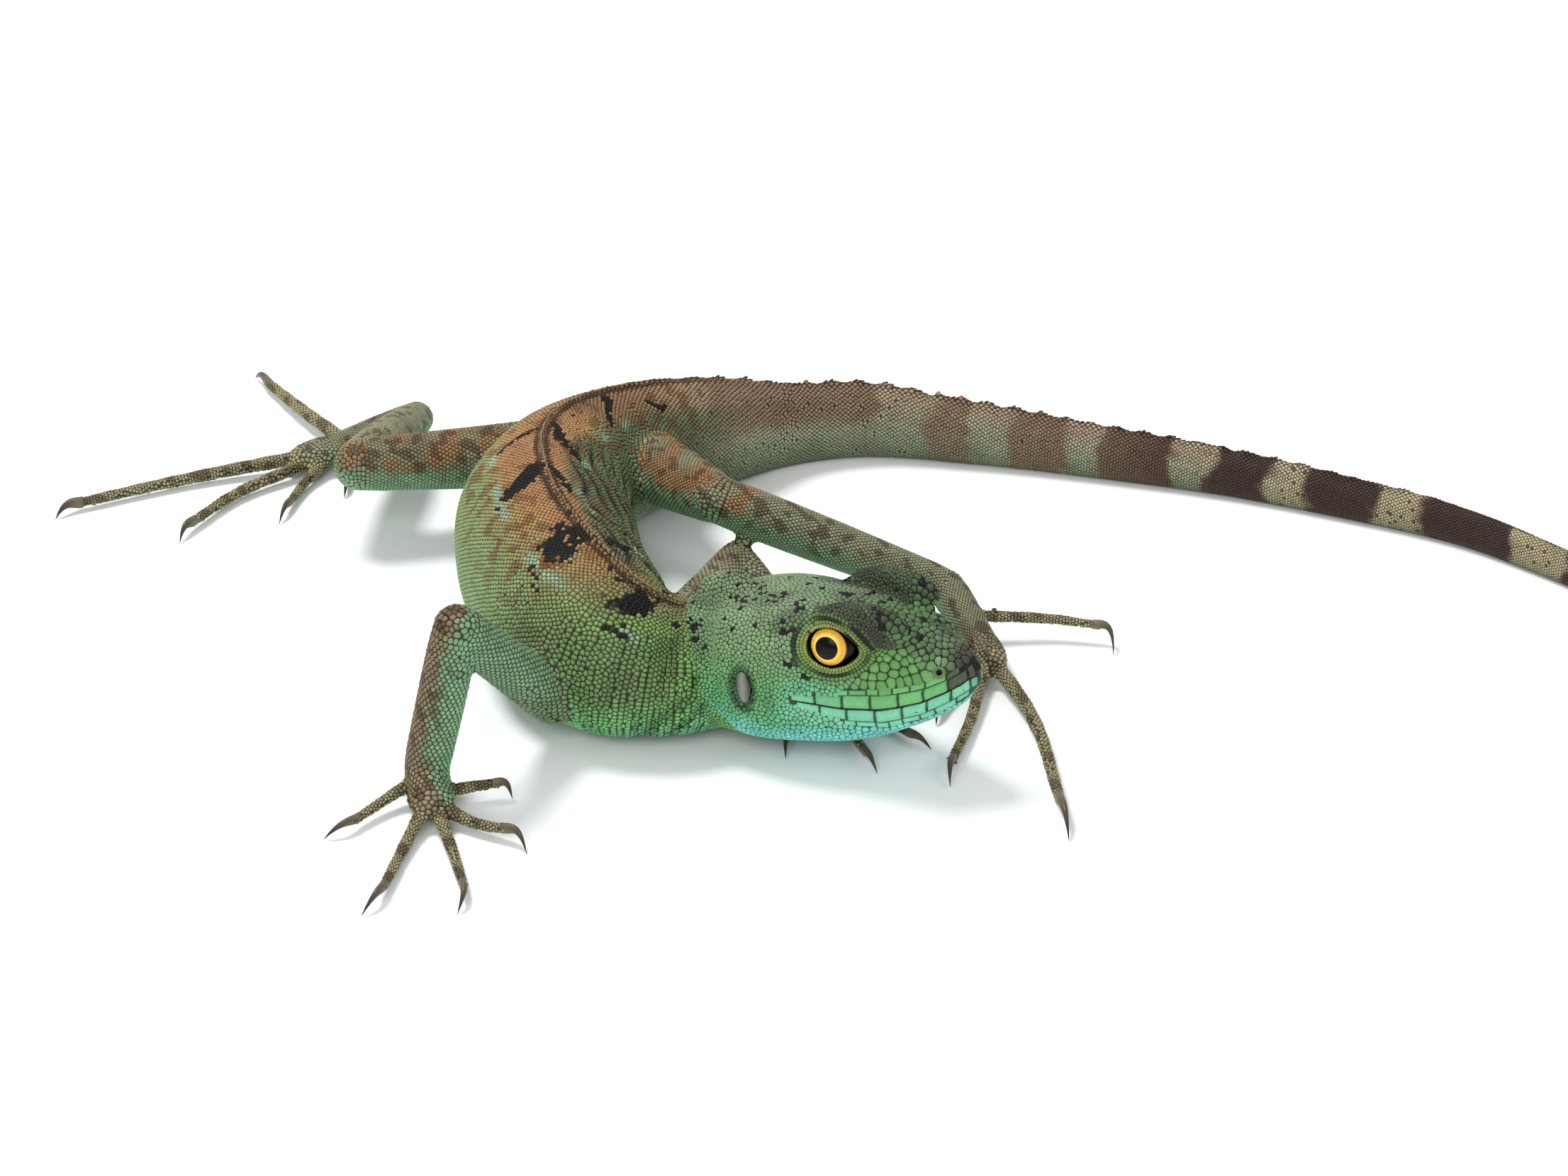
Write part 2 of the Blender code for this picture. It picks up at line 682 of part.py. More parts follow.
def make_head():
    added = [head_loft(), lip(LIP_HEIGHT), lip(-LIP_HEIGHT)]
    cuts = []
    for side in SIDES:
        added.append(head_ball("brow", BROW, side, BROW["radii"], 12, 7))
        added.append(head_ball("canthus", CANTHUS, side, CANTHUS["radii"], 10, 6))
        added.append(lids(side))
        added.append(nostril_rim(side))
        centre = eye_frame(side)[0]
        cuts.append(ball("socket", centre, [EYE["radius"] + GAP] * 3, None, 16, 10))
        cuts.append(head_ball("nostril", NOSTRIL, side, [NOSTRIL["hole"]] * 3, 8, 6, shift=0.45))
        cuts.append(head_ball("ear", EAR, side, EAR["radii"], 12, 8))
    whole = joined("whole", added, cuts)
    drop_objects(cuts)
    jaw = add_object("lower_jaw", whole.data.copy())
    blocks = [mouth_block(GAP), mouth_block(0)]
    boolean(jaw, blocks[:1], "INTERSECT")
    boolean(whole, blocks[1:], "DIFFERENCE")
    drop_objects(blocks)
    finish(keep_largest(whole), "head", "head")
    finish(keep_largest(jaw), "lower_jaw", "jaw")
    for side in SIDES:
        eyeball = ball("eye", eye_frame(side)[0], [EYE["radius"]] * 3, None, 16, 10)
        finish(eyeball, f"eye_{side}", "eye")
        drum = head_ball("drum", EAR, side, EAR["drum"], 10, 6, shift=-EAR["depth"])
        finish(drum, f"ear_{side}", "ear")


def make_casque():
    x, y, z = CASQUE["at"]
    lobe = ball("head_crest", head_point(x, y, z), CASQUE["radii"], head_axes().to_4x4(), 16, 12)
    room = grown_nodes("head", "neck")
    finish(joined("head_crest", [lobe], room), "head_crest", "head")
    drop_objects(room)


def grown_nodes(*names):
    # finished nodes, each a gap thicker all over, to cut their neighbours with
    grown = []
    for name in names:
        obj = add_object("grown", bpy.data.objects[name].data.copy())
        bm = bmesh.new()
        bm.from_mesh(obj.data)
        bm.normal_update()
        moves = [vert.normal * GAP * GROWTH * MM for vert in bm.verts]
        for vert, move in zip(bm.verts, moves):
            vert.co += move
        bm.to_mesh(obj.data)
        bm.free()
        grown.append(obj)
    return grown


# Limbs


def limb_rows(start, end, radii):
    # place and radius from a rounded end to a rounded end
    a, b = np.array(start, float), np.array(end, float)
    way = (b - a) / np.linalg.norm(b - a)
    first, middle, last = radii
    rows = []
    for angle in (80, 50, 20):
        turn = math.radians(angle)
        rows.append((*(a - way * first * math.sin(turn)), first * math.cos(turn)))
    for share in (0.15, 0.35, 0.55, 0.75, 0.92):
        size = np.interp(share, (0, 0.45, 1), (first, middle, last))
        rows.append((*(a + (b - a) * share), size))
    for angle in (20, 50, 80):
        turn = math.radians(angle)
        rows.append((*(b + way * last * math.sin(turn)), last * math.cos(turn)))
    return rows


def mitre(before, joint, after):
    # the plane that parts two segments at a joint
    first = (Vector(joint) - Vector(before)).normalized()
    second = (Vector(after) - Vector(joint)).normalized()
    return Vector(joint), (first + second).normalized()


def digit_rows(points, root):
    # place and radius along a toe, up to the root of its claw
    rows = [(*point, root * share) for point, share in zip(points, DIGIT_TAPER)]
    rows = smooth_rows(rows, DIGIT_STEP)
    rows[1:-1, 3] *= 1 + PAD_SWELL * (-1.0) ** np.arange(len(rows) - 2)
    return rows


def claw(name, rows, tip):
    # a curved cone that leaves the toe's tip and comes down to the floor
    end = rows[-1]
    way = unit(rows[-1][:3] - rows[-2][:3])
    start = end[:3] + way * (GAP + 0.05)
    tip = np.array((*tip, CLAW_POINT))
    bend = start + way * math.dist(start, tip) * CLAW_ARCH
    radius = end[3] * CLAW_ROOT
    places = []
    for share in (0, 0.1, 0.35, 0.6, 0.8, 1):
        place = start * (1 - share) ** 2 + bend * 2 * share * (1 - share) + tip * share**2
        places.append((*place, max(radius * (1 - share) ** 0.7, CLAW_POINT)))
    return finish(tube(name, places, CLAW_SIDES), name, "claw")


def make_limb(key):
    limb = LIMBS[key]
    root, bend, end, palm = limb["joints"]
    names = limb["names"]
    bend_place, bend_normal = mitre(root, bend, end)
    end_place, end_normal = mitre(bend, end, palm)
    across = np.cross(np.subtract(bend, root), np.subtract(end, bend))
    upper = tube(names[0], limb_rows(root, bend, limb["radii"][0]), LIMB_SIDES, across)
    cut_by_plane(upper, bend_place - bend_normal * GAP / 2, bend_normal)
    trunk = grown_nodes(*limb["trunk"])
    finish(joined(names[0], [upper], trunk), names[0], "limb")
    drop_objects(trunk)
    lower = tube(names[1], limb_rows(bend, end, limb["radii"][1]), LIMB_SIDES, across)
    cut_by_plane(lower, bend_place + bend_normal * GAP / 2, -bend_normal)
    cut_by_plane(lower, end_place - end_normal * GAP / 2, end_normal)
    finish(lower, names[1], "limb")
    make_extremity(names[2], limb, end_place, end_normal)


def make_extremity(name, limb, end_place, end_normal):
    wrist, palm = Vector(limb["joints"][2]), Vector(limb["joints"][3])
    heading = math.atan2(palm.y - wrist.y, palm.x - wrist.x)
    root = limb["radii"][1][2]
    middle = (wrist + palm) / 2
    pad = ball("pad", palm, limb["palm"], Matrix.Rotation(heading, 4, "Z"), 14, 10)
    stem = tube("stem", limb_rows(wrist, palm, (root, root * 0.95, root * 0.8)), 12, (0.1, 0.1, 1))
    cut_by_plane(pad, (middle.x, middle.y, 0), (0, 0, -1))
    cut_by_plane(stem, (middle.x, middle.y, 0), (0, 0, -1))
    digits = []
    for number, (points, tip, size) in enumerate(DIGITS[name], 1):
        rows = digit_rows(points, size)
        claw(f"claw_{name}_{number}", rows, tip)
        digits.append(tube("digit", rows, DIGIT_SIDES))
    whole = joined(name, [pad, stem] + digits)
    cut_by_plane(whole, end_place + end_normal * GAP / 2, -end_normal)
    finish(keep_largest(whole), name, "limb")


def centre_on_floor():
    # the origin lies on the floor under the middle of the model's box
    parts = bpy.data.collections["basilisk"].objects
    corners = np.array([v.co for obj in parts for v in obj.data.vertices])
    middle = (corners.min(axis=0) + corners.max(axis=0)) / 2
    shift = Matrix.Translation((-middle[0], -middle[1], 0))
    for obj in parts:
        obj.data.transform(shift)
    print("shift", [round(-value / MM, 3) for value in middle[:2]])


start_scene()
for material_name in COLOURS:
    make_material(material_name)
spine = body_line()
make_head()
make_body(spine)
make_casque()
for limb_key in LIMBS:
    make_limb(limb_key)
centre_on_floor()
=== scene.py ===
import math

import bmesh
import bpy
import numpy as np
from mathutils import Matrix, Vector
from mathutils.bvhtree import BVHTree
from mathutils.kdtree import KDTree


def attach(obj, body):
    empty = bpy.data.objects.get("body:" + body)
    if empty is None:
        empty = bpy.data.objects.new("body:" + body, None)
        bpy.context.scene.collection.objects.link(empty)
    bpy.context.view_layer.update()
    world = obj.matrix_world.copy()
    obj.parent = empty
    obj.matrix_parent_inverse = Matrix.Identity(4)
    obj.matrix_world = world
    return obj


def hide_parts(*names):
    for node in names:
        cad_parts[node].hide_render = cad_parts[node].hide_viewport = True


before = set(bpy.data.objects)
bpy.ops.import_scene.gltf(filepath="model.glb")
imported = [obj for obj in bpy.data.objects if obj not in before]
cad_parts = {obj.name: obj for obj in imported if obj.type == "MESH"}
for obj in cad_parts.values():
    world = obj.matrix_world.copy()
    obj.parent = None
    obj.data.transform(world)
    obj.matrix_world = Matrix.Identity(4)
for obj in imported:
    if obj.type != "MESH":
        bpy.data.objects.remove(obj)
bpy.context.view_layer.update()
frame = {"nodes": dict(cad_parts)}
nodes = frame["nodes"]
mm = 0.001


# Camera, floor and light

cameraSetup = {
    "place": (-71.6, -364.7, 214.5),
    "tilt": 60.0,  # degrees up from straight down
    "lens": 76.8,
    "sensor": 36,
    "clip": (0.01, 20),  # metres
}
floorSetup = {"size": 2600.0, "colour": (0.93, 0.935, 0.94), "rough": 0.65}
lightSetup = {
    "sky": (0.96, 0.98, 1.0),
    "skyPower": 0.5,
    "key": {"place": (-280, 160, 560), "aim": (-80, 0, 0), "size": 200, "power": 2.75},
    "fill": {"place": (-200, -520, 420), "aim": (-70, 0, 5), "size": 420, "power": 1.8},
    "side": {"place": (420, -160, 380), "aim": (-60, 0, 0), "size": 360, "power": 0.6},
}


def addLight(name, setup):
    place = Vector(setup["place"]) * mm
    bpy.ops.object.light_add(type="AREA", location=place)
    lamp = bpy.context.object
    lamp.name = name
    lamp.data.shape = "DISK"
    lamp.data.size = setup["size"] * mm
    lamp.data.energy = setup["power"]
    way = Vector(setup["aim"]) * mm - place
    lamp.rotation_euler = way.to_track_quat("-Z", "Y").to_euler()


def makeStage():
    scene = bpy.context.scene
    bpy.ops.object.camera_add(location=Vector(cameraSetup["place"]) * mm)
    camera = bpy.context.object
    camera.rotation_euler = (math.radians(cameraSetup["tilt"]), 0, 0)
    camera.data.lens = cameraSetup["lens"]
    camera.data.sensor_width = cameraSetup["sensor"]
    camera.data.clip_start, camera.data.clip_end = cameraSetup["clip"]
    scene.camera = camera
    scene.view_settings.view_transform = "Standard"
    for name in ("key", "fill", "side"):
        addLight(name, lightSetup[name])
    world = bpy.data.worlds.new("studio")
    scene.world = world
    world.use_nodes = True
    sky = world.node_tree.nodes["Background"]
    sky.inputs["Color"].default_value = (*lightSetup["sky"], 1)
    sky.inputs["Strength"].default_value = lightSetup["skyPower"]
    bpy.ops.mesh.primitive_plane_add(size=floorSetup["size"] * mm, location=(0, 0, 0))
    floor = bpy.context.object
    floor.name = "floor"
    paint = bpy.data.materials.new("floor")
    paint.use_nodes = True
    shader = paint.node_tree.nodes["Principled BSDF"]
    shader.inputs["Base Color"].default_value = (*floorSetup["colour"], 1)
    shader.inputs["Roughness"].default_value = floorSetup["rough"]
    floor.data.materials.append(paint)


bpy.ops.object.select_all(action="DESELECT")
makeStage()
print("stage ready")


# The lines that the animal is built on: the spine, each limb and each toe

# place of the widest level, rise and drop from it, half width
spineRows = [
    (-75.9, -25.1, 7.90, 10.30, 6.10, 8.80),
    (-79.8, -24.0, 7.80, 7.40, 7.10, 8.70),
    (-84.9, -24.9, 8.00, 7.80, 8.00, 9.40),
    (-90.5, -24.1, 8.80, 9.80, 9.40, 10.80),
    (-95.2, -19.5, 9.40, 11.20, 10.10, 11.50),
    (-98.6, -11.5, 9.80, 11.70, 10.50, 11.60),
    (-100.9, -1.7, 10.00, 11.60, 10.70, 11.70),
    (-101.6, 8.8, 10.00, 11.10, 10.70, 11.40),
    (-99.4, 17.8, 10.00, 10.40, 10.60, 9.90),
    (-95.1, 24.3, 9.60, 9.70, 9.60, 7.90),
    (-88.6, 30.3, 8.80, 8.90, 8.60, 6.60),
    (-80.6, 36.1, 7.50, 7.50, 7.80, 5.40),
    (-71.1, 41.6, 5.53, 5.89, 5.89, 3.53),
    (-62.6, 43.9, 5.18, 5.51, 5.51, 3.31),
    (-45.8, 41.7, 4.27, 4.54, 4.54, 2.72),
    (-29.3, 37.5, 3.63, 3.86, 3.86, 2.32),
    (-13.1, 32.6, 3.26, 3.47, 3.47, 2.08),
    (2.6, 26.0, 2.89, 3.07, 3.07, 1.84),
    (17.6, 18.1, 2.59, 2.75, 2.75, 1.65),
    (29.1, 7.8, 2.33, 2.48, 2.48, 1.49),
    (39.7, -2.8, 2.16, 2.30, 2.30, 1.38),
    (49.6, -14.1, 1.99, 2.12, 2.12, 1.27),
    (58.8, -25.9, 1.82, 1.93, 1.93, 1.16),
    (69.4, -36.6, 1.65, 1.75, 1.75, 1.05),
    (81.1, -45.9, 1.48, 1.57, 1.57, 0.94),
    (93.8, -53.8, 1.31, 1.39, 1.39, 0.84),
    (107.4, -60.1, 1.14, 1.21, 1.21, 0.73),
    (122.3, -64.5, 0.96, 1.02, 1.02, 0.61),
    (137.7, -66.5, 0.79, 0.84, 0.84, 0.50),
    (153.2, -66.2, 0.61, 0.65, 0.65, 0.39),
    (168.5, -63.5, 0.44, 0.46, 0.46, 0.28),
]
tailStart = 74.0  # distance along the spine at which the tail begins
partStep = 0.9  # between the places of a limb or toe
seeds = {"hide": 3, "lips": 8, "shake": 31, "fill": 5, "head": 9, "crest": 12}

# the joints from the body out to the palm or sole, and the radius at each
limbLines = {
    "armRight": {
        "joints": [(-99.0, -29.8, 6.4), (-108.6, -39.6, 21.6), (-112.8, -41.2, 4.0), (-112.0, -45.4, 2.3)],
        "radii": [3.5, 3.1, 2.8, 2.4],
    },
    "armLeft": {
        "joints": [(-84.6, -20.2, 9.0), (-77.5, -1.7, 9.0), (-69.1, -14.7, 3.4), (-67.0, -18.7, 1.9)],
        "radii": [4.0, 2.8, 2.2, 2.0],
    },
    "legRight": {
        "joints": [(-96.6, 26.8, 9.5), (-126.6, 18.8, 11.5), (-122.2, 45.0, 4.8), (-133.1, 40.2, 2.6)],
        "radii": [5.2, 3.8, 2.9, 2.5],
    },
    "legLeft": {
        "joints": [(-90.6, 24.8, 9.0), (-79.9, 2.2, 15.4), (-51.2, -1.2, 4.6), (-47.2, -11.8, 2.7)],
        "radii": [5.2, 3.5, 2.8, 2.3],
    },
}
# points from the knuckle to the root of the claw, tip of the claw, radius at the knuckle
toeLines = {
    "handRight": [
        ((-110.6, -43.6, 2.1), (-106.8, -42.2, 2.0), (-104.4, -41.7, 2.1), (-103.0, -42.1), 0.9),
        ((-110.6, -46.4, 1.9), (-106.7, -49.0, 1.3), (-102.7, -50.8, 1.8), (-100.6, -53.3), 0.95),
        ((-111.2, -47.2, 1.9), (-109.3, -52.7, 1.2), (-106.9, -61.6, 1.4), (-107.4, -65.0), 0.95),
        ((-112.8, -47.2, 1.9), (-114.4, -53.6, 1.1), (-115.9, -61.8, 1.4), (-117.9, -65.3), 0.95),
        ((-114.0, -42.0, 2.7), (-117.5, -44.9, 1.7), (-120.5, -48.5, 1.4), (-123.8, -50.4), 0.9),
    ],
    "handLeft": [
        ((-68.0, -18.6, 1.5), (-71.4, -20.8, 0.9), (-73.8, -23.0, 1.0), (-75.4, -25.2), 0.85),
        ((-67.6, -20.0, 1.5), (-69.9, -25.7, 0.8), (-71.2, -30.4, 1.0), (-71.4, -33.6), 0.85),
        ((-66.4, -20.6, 1.5), (-64.0, -27.9, 0.9), (-62.0, -33.8, 1.2), (-60.7, -36.8), 0.9),
        ((-65.6, -19.8, 1.5), (-60.4, -25.3, 1.0), (-56.4, -30.0, 1.2), (-54.2, -31.6), 0.9),
        ((-65.6, -18.2, 1.5), (-62.2, -18.6, 1.1), (-59.6, -19.4, 1.1), (-57.8, -20.8), 0.85),
    ],
    "footRight": [
        ((-131.1, 38.4, 1.9), (-130.5, 35.0, 1.3), (-130.5, 33.2, 1.3), (-130.7, 30.7), 0.85),
        ((-133.8, 38.0, 1.9), (-136.4, 32.6, 1.2), (-137.6, 27.2, 1.3), (-138.5, 23.4), 0.9),
        ((-135.0, 38.6, 1.9), (-145.1, 29.9, 1.2), (-149.8, 21.6, 1.4), (-150.9, 18.4), 1.05),
        ((-135.4, 39.8, 2.1), (-151.1, 34.6, 1.3), (-166.0, 27.3, 1.2), (-168.4, 24.8), 1.15),
        ((-131.1, 42.0, 2.4), (-140.0, 54.5, 2.0), (-145.2, 63.0, 1.4), (-147.6, 67.0), 1.15),
    ],
    "footLeft": [
        ((-48.2, -11.6, 1.9), (-52.2, -14.4, 1.1), (-54.4, -16.8, 1.2), (-55.6, -19.4), 0.9),
        ((-47.8, -13.4, 1.9), (-50.8, -19.6, 1.1), (-52.8, -23.8, 1.2), (-53.4, -26.4), 0.9),
        ((-47.2, -15.6, 1.9), (-49.2, -26.2, 1.2), (-52.0, -36.2, 1.5), (-52.3, -39.6), 0.95),
        ((-46.4, -13.8, 2.2), (-42.3, -24.9, 1.4), (-39.9, -45.0, 1.7), (-39.3, -50.8), 1.15),
        ((-47.4, -6.2, 3.5), (-38.9, -6.0, 3.0), (-32.4, -6.9, 2.6), (-30.8, -10.1), 0.9),
    ],
}


def unitRows(rows):
    rows = np.asarray(rows, float)
    return rows / np.maximum(np.linalg.norm(rows, axis=-1, keepdims=True), 1e-9)


def flatWay(way, normal):
    # the part of a way that lies along the surface
    return unitRows(way - normal * (way @ normal))


def lengths(rows):
    # length along a line up to each of its rows
    return np.concatenate([[0], np.cumsum(np.linalg.norm(np.diff(rows[:, :3], axis=0), axis=1))])


def rowsAt(places, along, rows):
    return np.stack([np.interp(places, along, column) for column in rows.T], axis=-1)


def onTable(value, table):
    # the height of a broken line at a value; the table is a list of pairs
    return np.interp(value, *zip(*table))


def smoothLine(rows, step):
    # even steps along the smooth line through the first three columns
    rows = np.array(rows, float)
    at = lengths(rows)
    slope = np.gradient(rows, at, axis=0)
    fine = np.linspace(0, at[-1], 40 * len(rows))
    k = np.clip(np.searchsorted(at, fine, side="right") - 1, 0, len(at) - 2)
    hop = (at[k + 1] - at[k])[:, None]
    u = (fine - at[k])[:, None] / hop
    line = (2 * u**3 - 3 * u**2 + 1) * rows[k] + (3 * u**2 - 2 * u**3) * rows[k + 1]
    line += (u**3 - 2 * u**2 + u) * hop * slope[k] + (u**3 - u**2) * hop * slope[k + 1]
    along = lengths(line)
    places = np.arange(0, along[-1], step)
    return places, rowsAt(places, along, line)


def lineFrames(rows):
    # forward, across and up at each row of a line
    forward = unitRows(np.gradient(rows[:, :3], axis=0))
    across = unitRows(np.cross(forward, (0.0, 0.0, 1.0)))
    return forward, across, np.cross(across, forward)


print("lines ready")


# Head axes: x forward from the snout tip, y to its left, z up

headSetup = {
    "tip": (-49.093, -37.568, 14.0),
    "yaw": -25.0,
    "pitch": 5.0,
    # distance behind the tip, half width, top, widest level, bottom
    "rows": [
        (0, 1.0, 1.0, -0.1, -1.2),
        (0.8, 2.0, 2.2, -0.4, -2.6),
        (2.5, 3.0, 3.6, -0.8, -4.0),
        (5, 4.0, 5.2, -1.3, -5.6),
        (8, 4.9, 6.6, -1.8, -7.1),
        (11, 5.9, 7.5, -2.3, -8.4),
        (14, 6.9, 8.0, -2.8, -9.2),
        (18, 7.9, 8.3, -3.2, -9.7),
        (22, 8.9, 8.3, -3.6, -9.8),
        (26, 9.3, 7.8, -3.7, -9.8),
        (30, 8.8, 6.8, -3.5, -9.6),
    ],
    # the line of the mouth: distance behind the tip, height
    "mouth": [(-2, 0.9), (0.5, 0.3), (3, -1.0), (6, -2.4), (10, -3.3), (15, -3.0), (20.5, -2.1)],
    # the edge between the top and the side of the snout
    "canthus": [(2, 1.9), (3.8, 3.1), (8, 4.3), (11, 5.0), (13, 6.2)],
    "drum": (-26.3, 9.1, -1.3),
    "nostril": (-3.8, 2.9, 1.5),
}
eyeSetup = {"at": (-16, 3.7, 4.0), "aim": (0.12, 1, 0.22), "radius": 3.4}
headTurn = Matrix.Rotation(math.radians(headSetup["yaw"]), 3, "Z") @ Matrix.Rotation(
    -math.radians(headSetup["pitch"]), 3, "Y"
)
headAxes = np.array(headTurn)
headTip = np.array(headSetup["tip"])


def headPoint(x, y, z):
    return headTip + headAxes @ np.array((x, y, z), float)


def intoHead(points):
    return (np.asarray(points) - headTip) @ headAxes


def folded(local):
    # places on the right of the head, laid over to the left
    return np.abs(local * (0, 1, 0)) + local * (1, 0, 1)


def headRow(behind):
    # half width, top, widest level and bottom of the head
    distances, *columns = zip(*headSetup["rows"])
    return [np.interp(behind, distances, column) for column in columns]


def headHeights(local):
    # where a point is between the widest level and the top, and between that level and the bottom
    _, top, level, low = headRow(-local[:, 0])
    return (local[:, 2] - level) / (top - level), (level - local[:, 2]) / (level - low)


def mouthHeight(behind):
    return onTable(behind, headSetup["mouth"])


# Every part of the body as one row of places: where, how thick, which part, how far along

spineStep = 0.5
spineAlong, spineLine = smoothLine(spineRows, spineStep)
partNames = ["head", "spine"]
partPlaces, partSizes, partOwners, partAlong = [], [], [], []


def addPart(name, places, sizes, along):
    if name not in partNames:
        partNames.append(name)
    partPlaces.append(np.asarray(places, float))
    partSizes.append(np.asarray(sizes, float))
    partOwners.append(np.full(len(places), partNames.index(name)))
    partAlong.append(np.asarray(along, float))


def addChain(name, points, radii):
    rows = np.array([(*p, r) for p, r in zip(points, radii)], float)
    along = lengths(rows)
    places = np.linspace(0, along[-1], max(3, round(along[-1] / partStep)))
    found = rowsAt(places, along, rows)
    addPart(name, found[:, :3], found[:, 3], places)
    return found


behindRows = np.arange(0.6, 32, 1.0)
headCentres = [headPoint(-b, 0, (headRow(b)[1] + headRow(b)[3]) / 2) for b in behindRows]
addPart("head", headCentres, [headRow(b)[0] for b in behindRows], behindRows)
sparse = spineLine[::2]
addPart("spine", sparse[:, :3], np.cbrt(sparse[:, 3] * sparse[:, 4] * sparse[:, 5]), spineAlong[::2])
chains = {}
for limbName, limb in limbLines.items():
    chains[limbName] = addChain(limbName, limb["joints"], limb["radii"])
for footName, toes in toeLines.items():
    for number, toe in enumerate(toes, 1):
        name = footName + str(number)
        rows = [(*p, toe[4] * share) for p, share in zip(toe[:3], (1.0, 0.86, 0.68))]
        chains[name] = addChain(name, [r[:3] for r in rows], [r[3] for r in rows])
partLists = (partPlaces, partSizes, partOwners, partAlong)
partPlaces, partSizes, partOwners, partAlong = map(np.concatenate, partLists)
firstToe = partNames.index("handRight1")  # the toes come last among the parts


def nearestPart(points):
    # which place along the body a point belongs to, by distance over thickness
    batch = 20000
    found = np.empty(len(points), int)
    scale = (1 / partSizes**2).astype(np.float32)
    squares = ((partPlaces**2).sum(1) * scale).astype(np.float32)
    pull = (2 * partPlaces * scale[:, None]).T.astype(np.float32)
    for start in range(0, len(points), batch):
        some = points[start : start + batch].astype(np.float32)
        gap = (some**2).sum(1)[:, None] * scale + squares - some @ pull
        found[start : start + batch] = np.argmin(gap, axis=1)
    return found


print("parts ready:", len(partNames))


# Fields over the surface

def ripple(points, size, seed):
    # a smooth random field over space, about -1 to 1
    rng = np.random.default_rng(seed)
    ways = unitRows(rng.normal(size=(12, 3))) * rng.uniform(0.6, 1.5, (12, 1)) * 2 * math.pi / size
    phase = rng.uniform(0, 2 * math.pi, 12)
    return np.sin(points @ ways.T + phase).sum(1) / 3.0


def ease(value, low, high):
    share = np.clip((value - low) / (high - low), 0, 1)
    return share * share * (3 - 2 * share)


def fade(value, full, none):
    return 1 - ease(value, full, none)


def span(value, none, full, less, gone):
    # rises between the first two values and falls between the last two
    return ease(value, none, full) * fade(value, less, gone)


spineForward, spineAcross, spineUp = lineFrames(spineLine)
# how far the line of the back leans towards the hollow side: distance along, shift
ridgeLean = [(0, 1.6), (14, 1.4), (20, 2.0), (27, 1.4), (36, 0.4), (56, -0.6), (70, 0.3), (82, 0)]


def ridgeAt(along):
    return onTable(along, ridgeLean)


def spinePlace(points, near):
    # distance along the spine, length round the body from its top, and the section there
    onSpine = partOwners[near] == 1
    k = np.clip((partAlong[near] / spineStep).astype(int), 0, len(spineLine) - 1)
    k[~onSpine] = 0
    out = points - spineLine[k, :3]
    along = partAlong[near] + (out * spineForward[k]).sum(1)
    side, high = (out * spineAcross[k]).sum(1), (out * spineUp[k]).sum(1)
    row = spineLine[k]
    angle = np.arctan2(side / row[:, 5], high / np.where(high > 0, row[:, 3], row[:, 4]))
    arc = angle * (row[:, 5] + np.where(np.abs(angle) < math.pi / 2, row[:, 3], row[:, 4])) / 2
    return onSpine, np.where(onSpine, along, -50), arc, row


# the folds of the bent nape and the hollow flank: how far apart and how deep; then the ridge of the back
foldSetup = {"gap": 3.3, "flankGap": 2.2, "flank": 0.55, "nape": 0.4, "ridge": 0.3, "ridgeWide": 0.5}


def foldPlaces(points, along, arc):
    # how strong the folds are on the hollow flank and on the bent nape, and where each crease is
    hollow = span(arc, 2.4, 5, 20, 28) * span(along, 14, 22, 46, 58)
    nape = fade(along, 9, 16) * ease(np.abs(arc), 2, 6) * ease(along, 0.5, 3)
    # those of the flank run along the body, those of the nape across it
    way = np.where(arc > 0, ease(along, 16, 22), 0)
    phase = (arc + 0.22 * along + 0.7 * ripple(points, 9, 42)) / foldSetup["flankGap"] * way
    phase = phase + (along + ripple(points, 12, 41) + 0.16 * arc) / foldSetup["gap"] * (1 - way)
    wave = 0.5 + 0.5 * np.cos(2 * math.pi * phase)
    return hollow, nape, wave**2.2


def folds(points, near):
    onSpine, along, arc, _ = spinePlace(points, near)
    hollow, nape, crease = foldPlaces(points, along, arc)
    lift = -crease * (hollow * foldSetup["flank"] + nape * foldSetup["nape"])
    ridge = np.exp(-(((arc - ridgeAt(along)) / foldSetup["ridgeWide"]) ** 2))
    lift = lift + foldSetup["ridge"] * ridge * span(along, 2, 8, 70, 80)
    return np.where(onSpine, lift, 0)


# The skin: one closed surface over all the flesh, a coat's depth inside the solids

skinSetup = {
    "swell": 0.2,  # closes the cuts between the solids
    "voxel": 0.32,
    "merge": 0.001,
    "coat": 0.15,  # depth of the scales over the skin
    "steps": 100,
    "softest": 1.6,
    # how soft the head is, beside an eye and beside an ear drum, and on the tip of the snout
    "headSoft": 0.85,
    "eyeSoft": (0.22, 0.12, 3.6),  # least, more for each millimetre, from this distance
    "drumSoft": (0.2, 0.2, 2.5),
    "snoutSoft": 0.4,
    "levels": 30,
    "lowest": 0.05,
    "triangles": 190000,
}


def selectOnly(*pieces):
    bpy.ops.object.select_all(action="DESELECT")
    for piece in pieces:
        piece.select_set(True)
    bpy.context.view_layer.objects.active = pieces[0]


def joined(pieces, name):
    selectOnly(*pieces)
    bpy.ops.object.join()
    whole = bpy.context.object
    whole.name = whole.data.name = name
    whole.data.materials.clear()
    return whole


def editAll(obj, operator, **values):
    # one operator on the whole of a mesh
    selectOnly(obj)
    bpy.ops.object.mode_set(mode="EDIT")
    bpy.ops.mesh.select_all(action="SELECT")
    operator(**values)
    bpy.ops.object.mode_set(mode="OBJECT")


def isFlesh(name):
    return not name.startswith(("eye", "ear", "claw"))


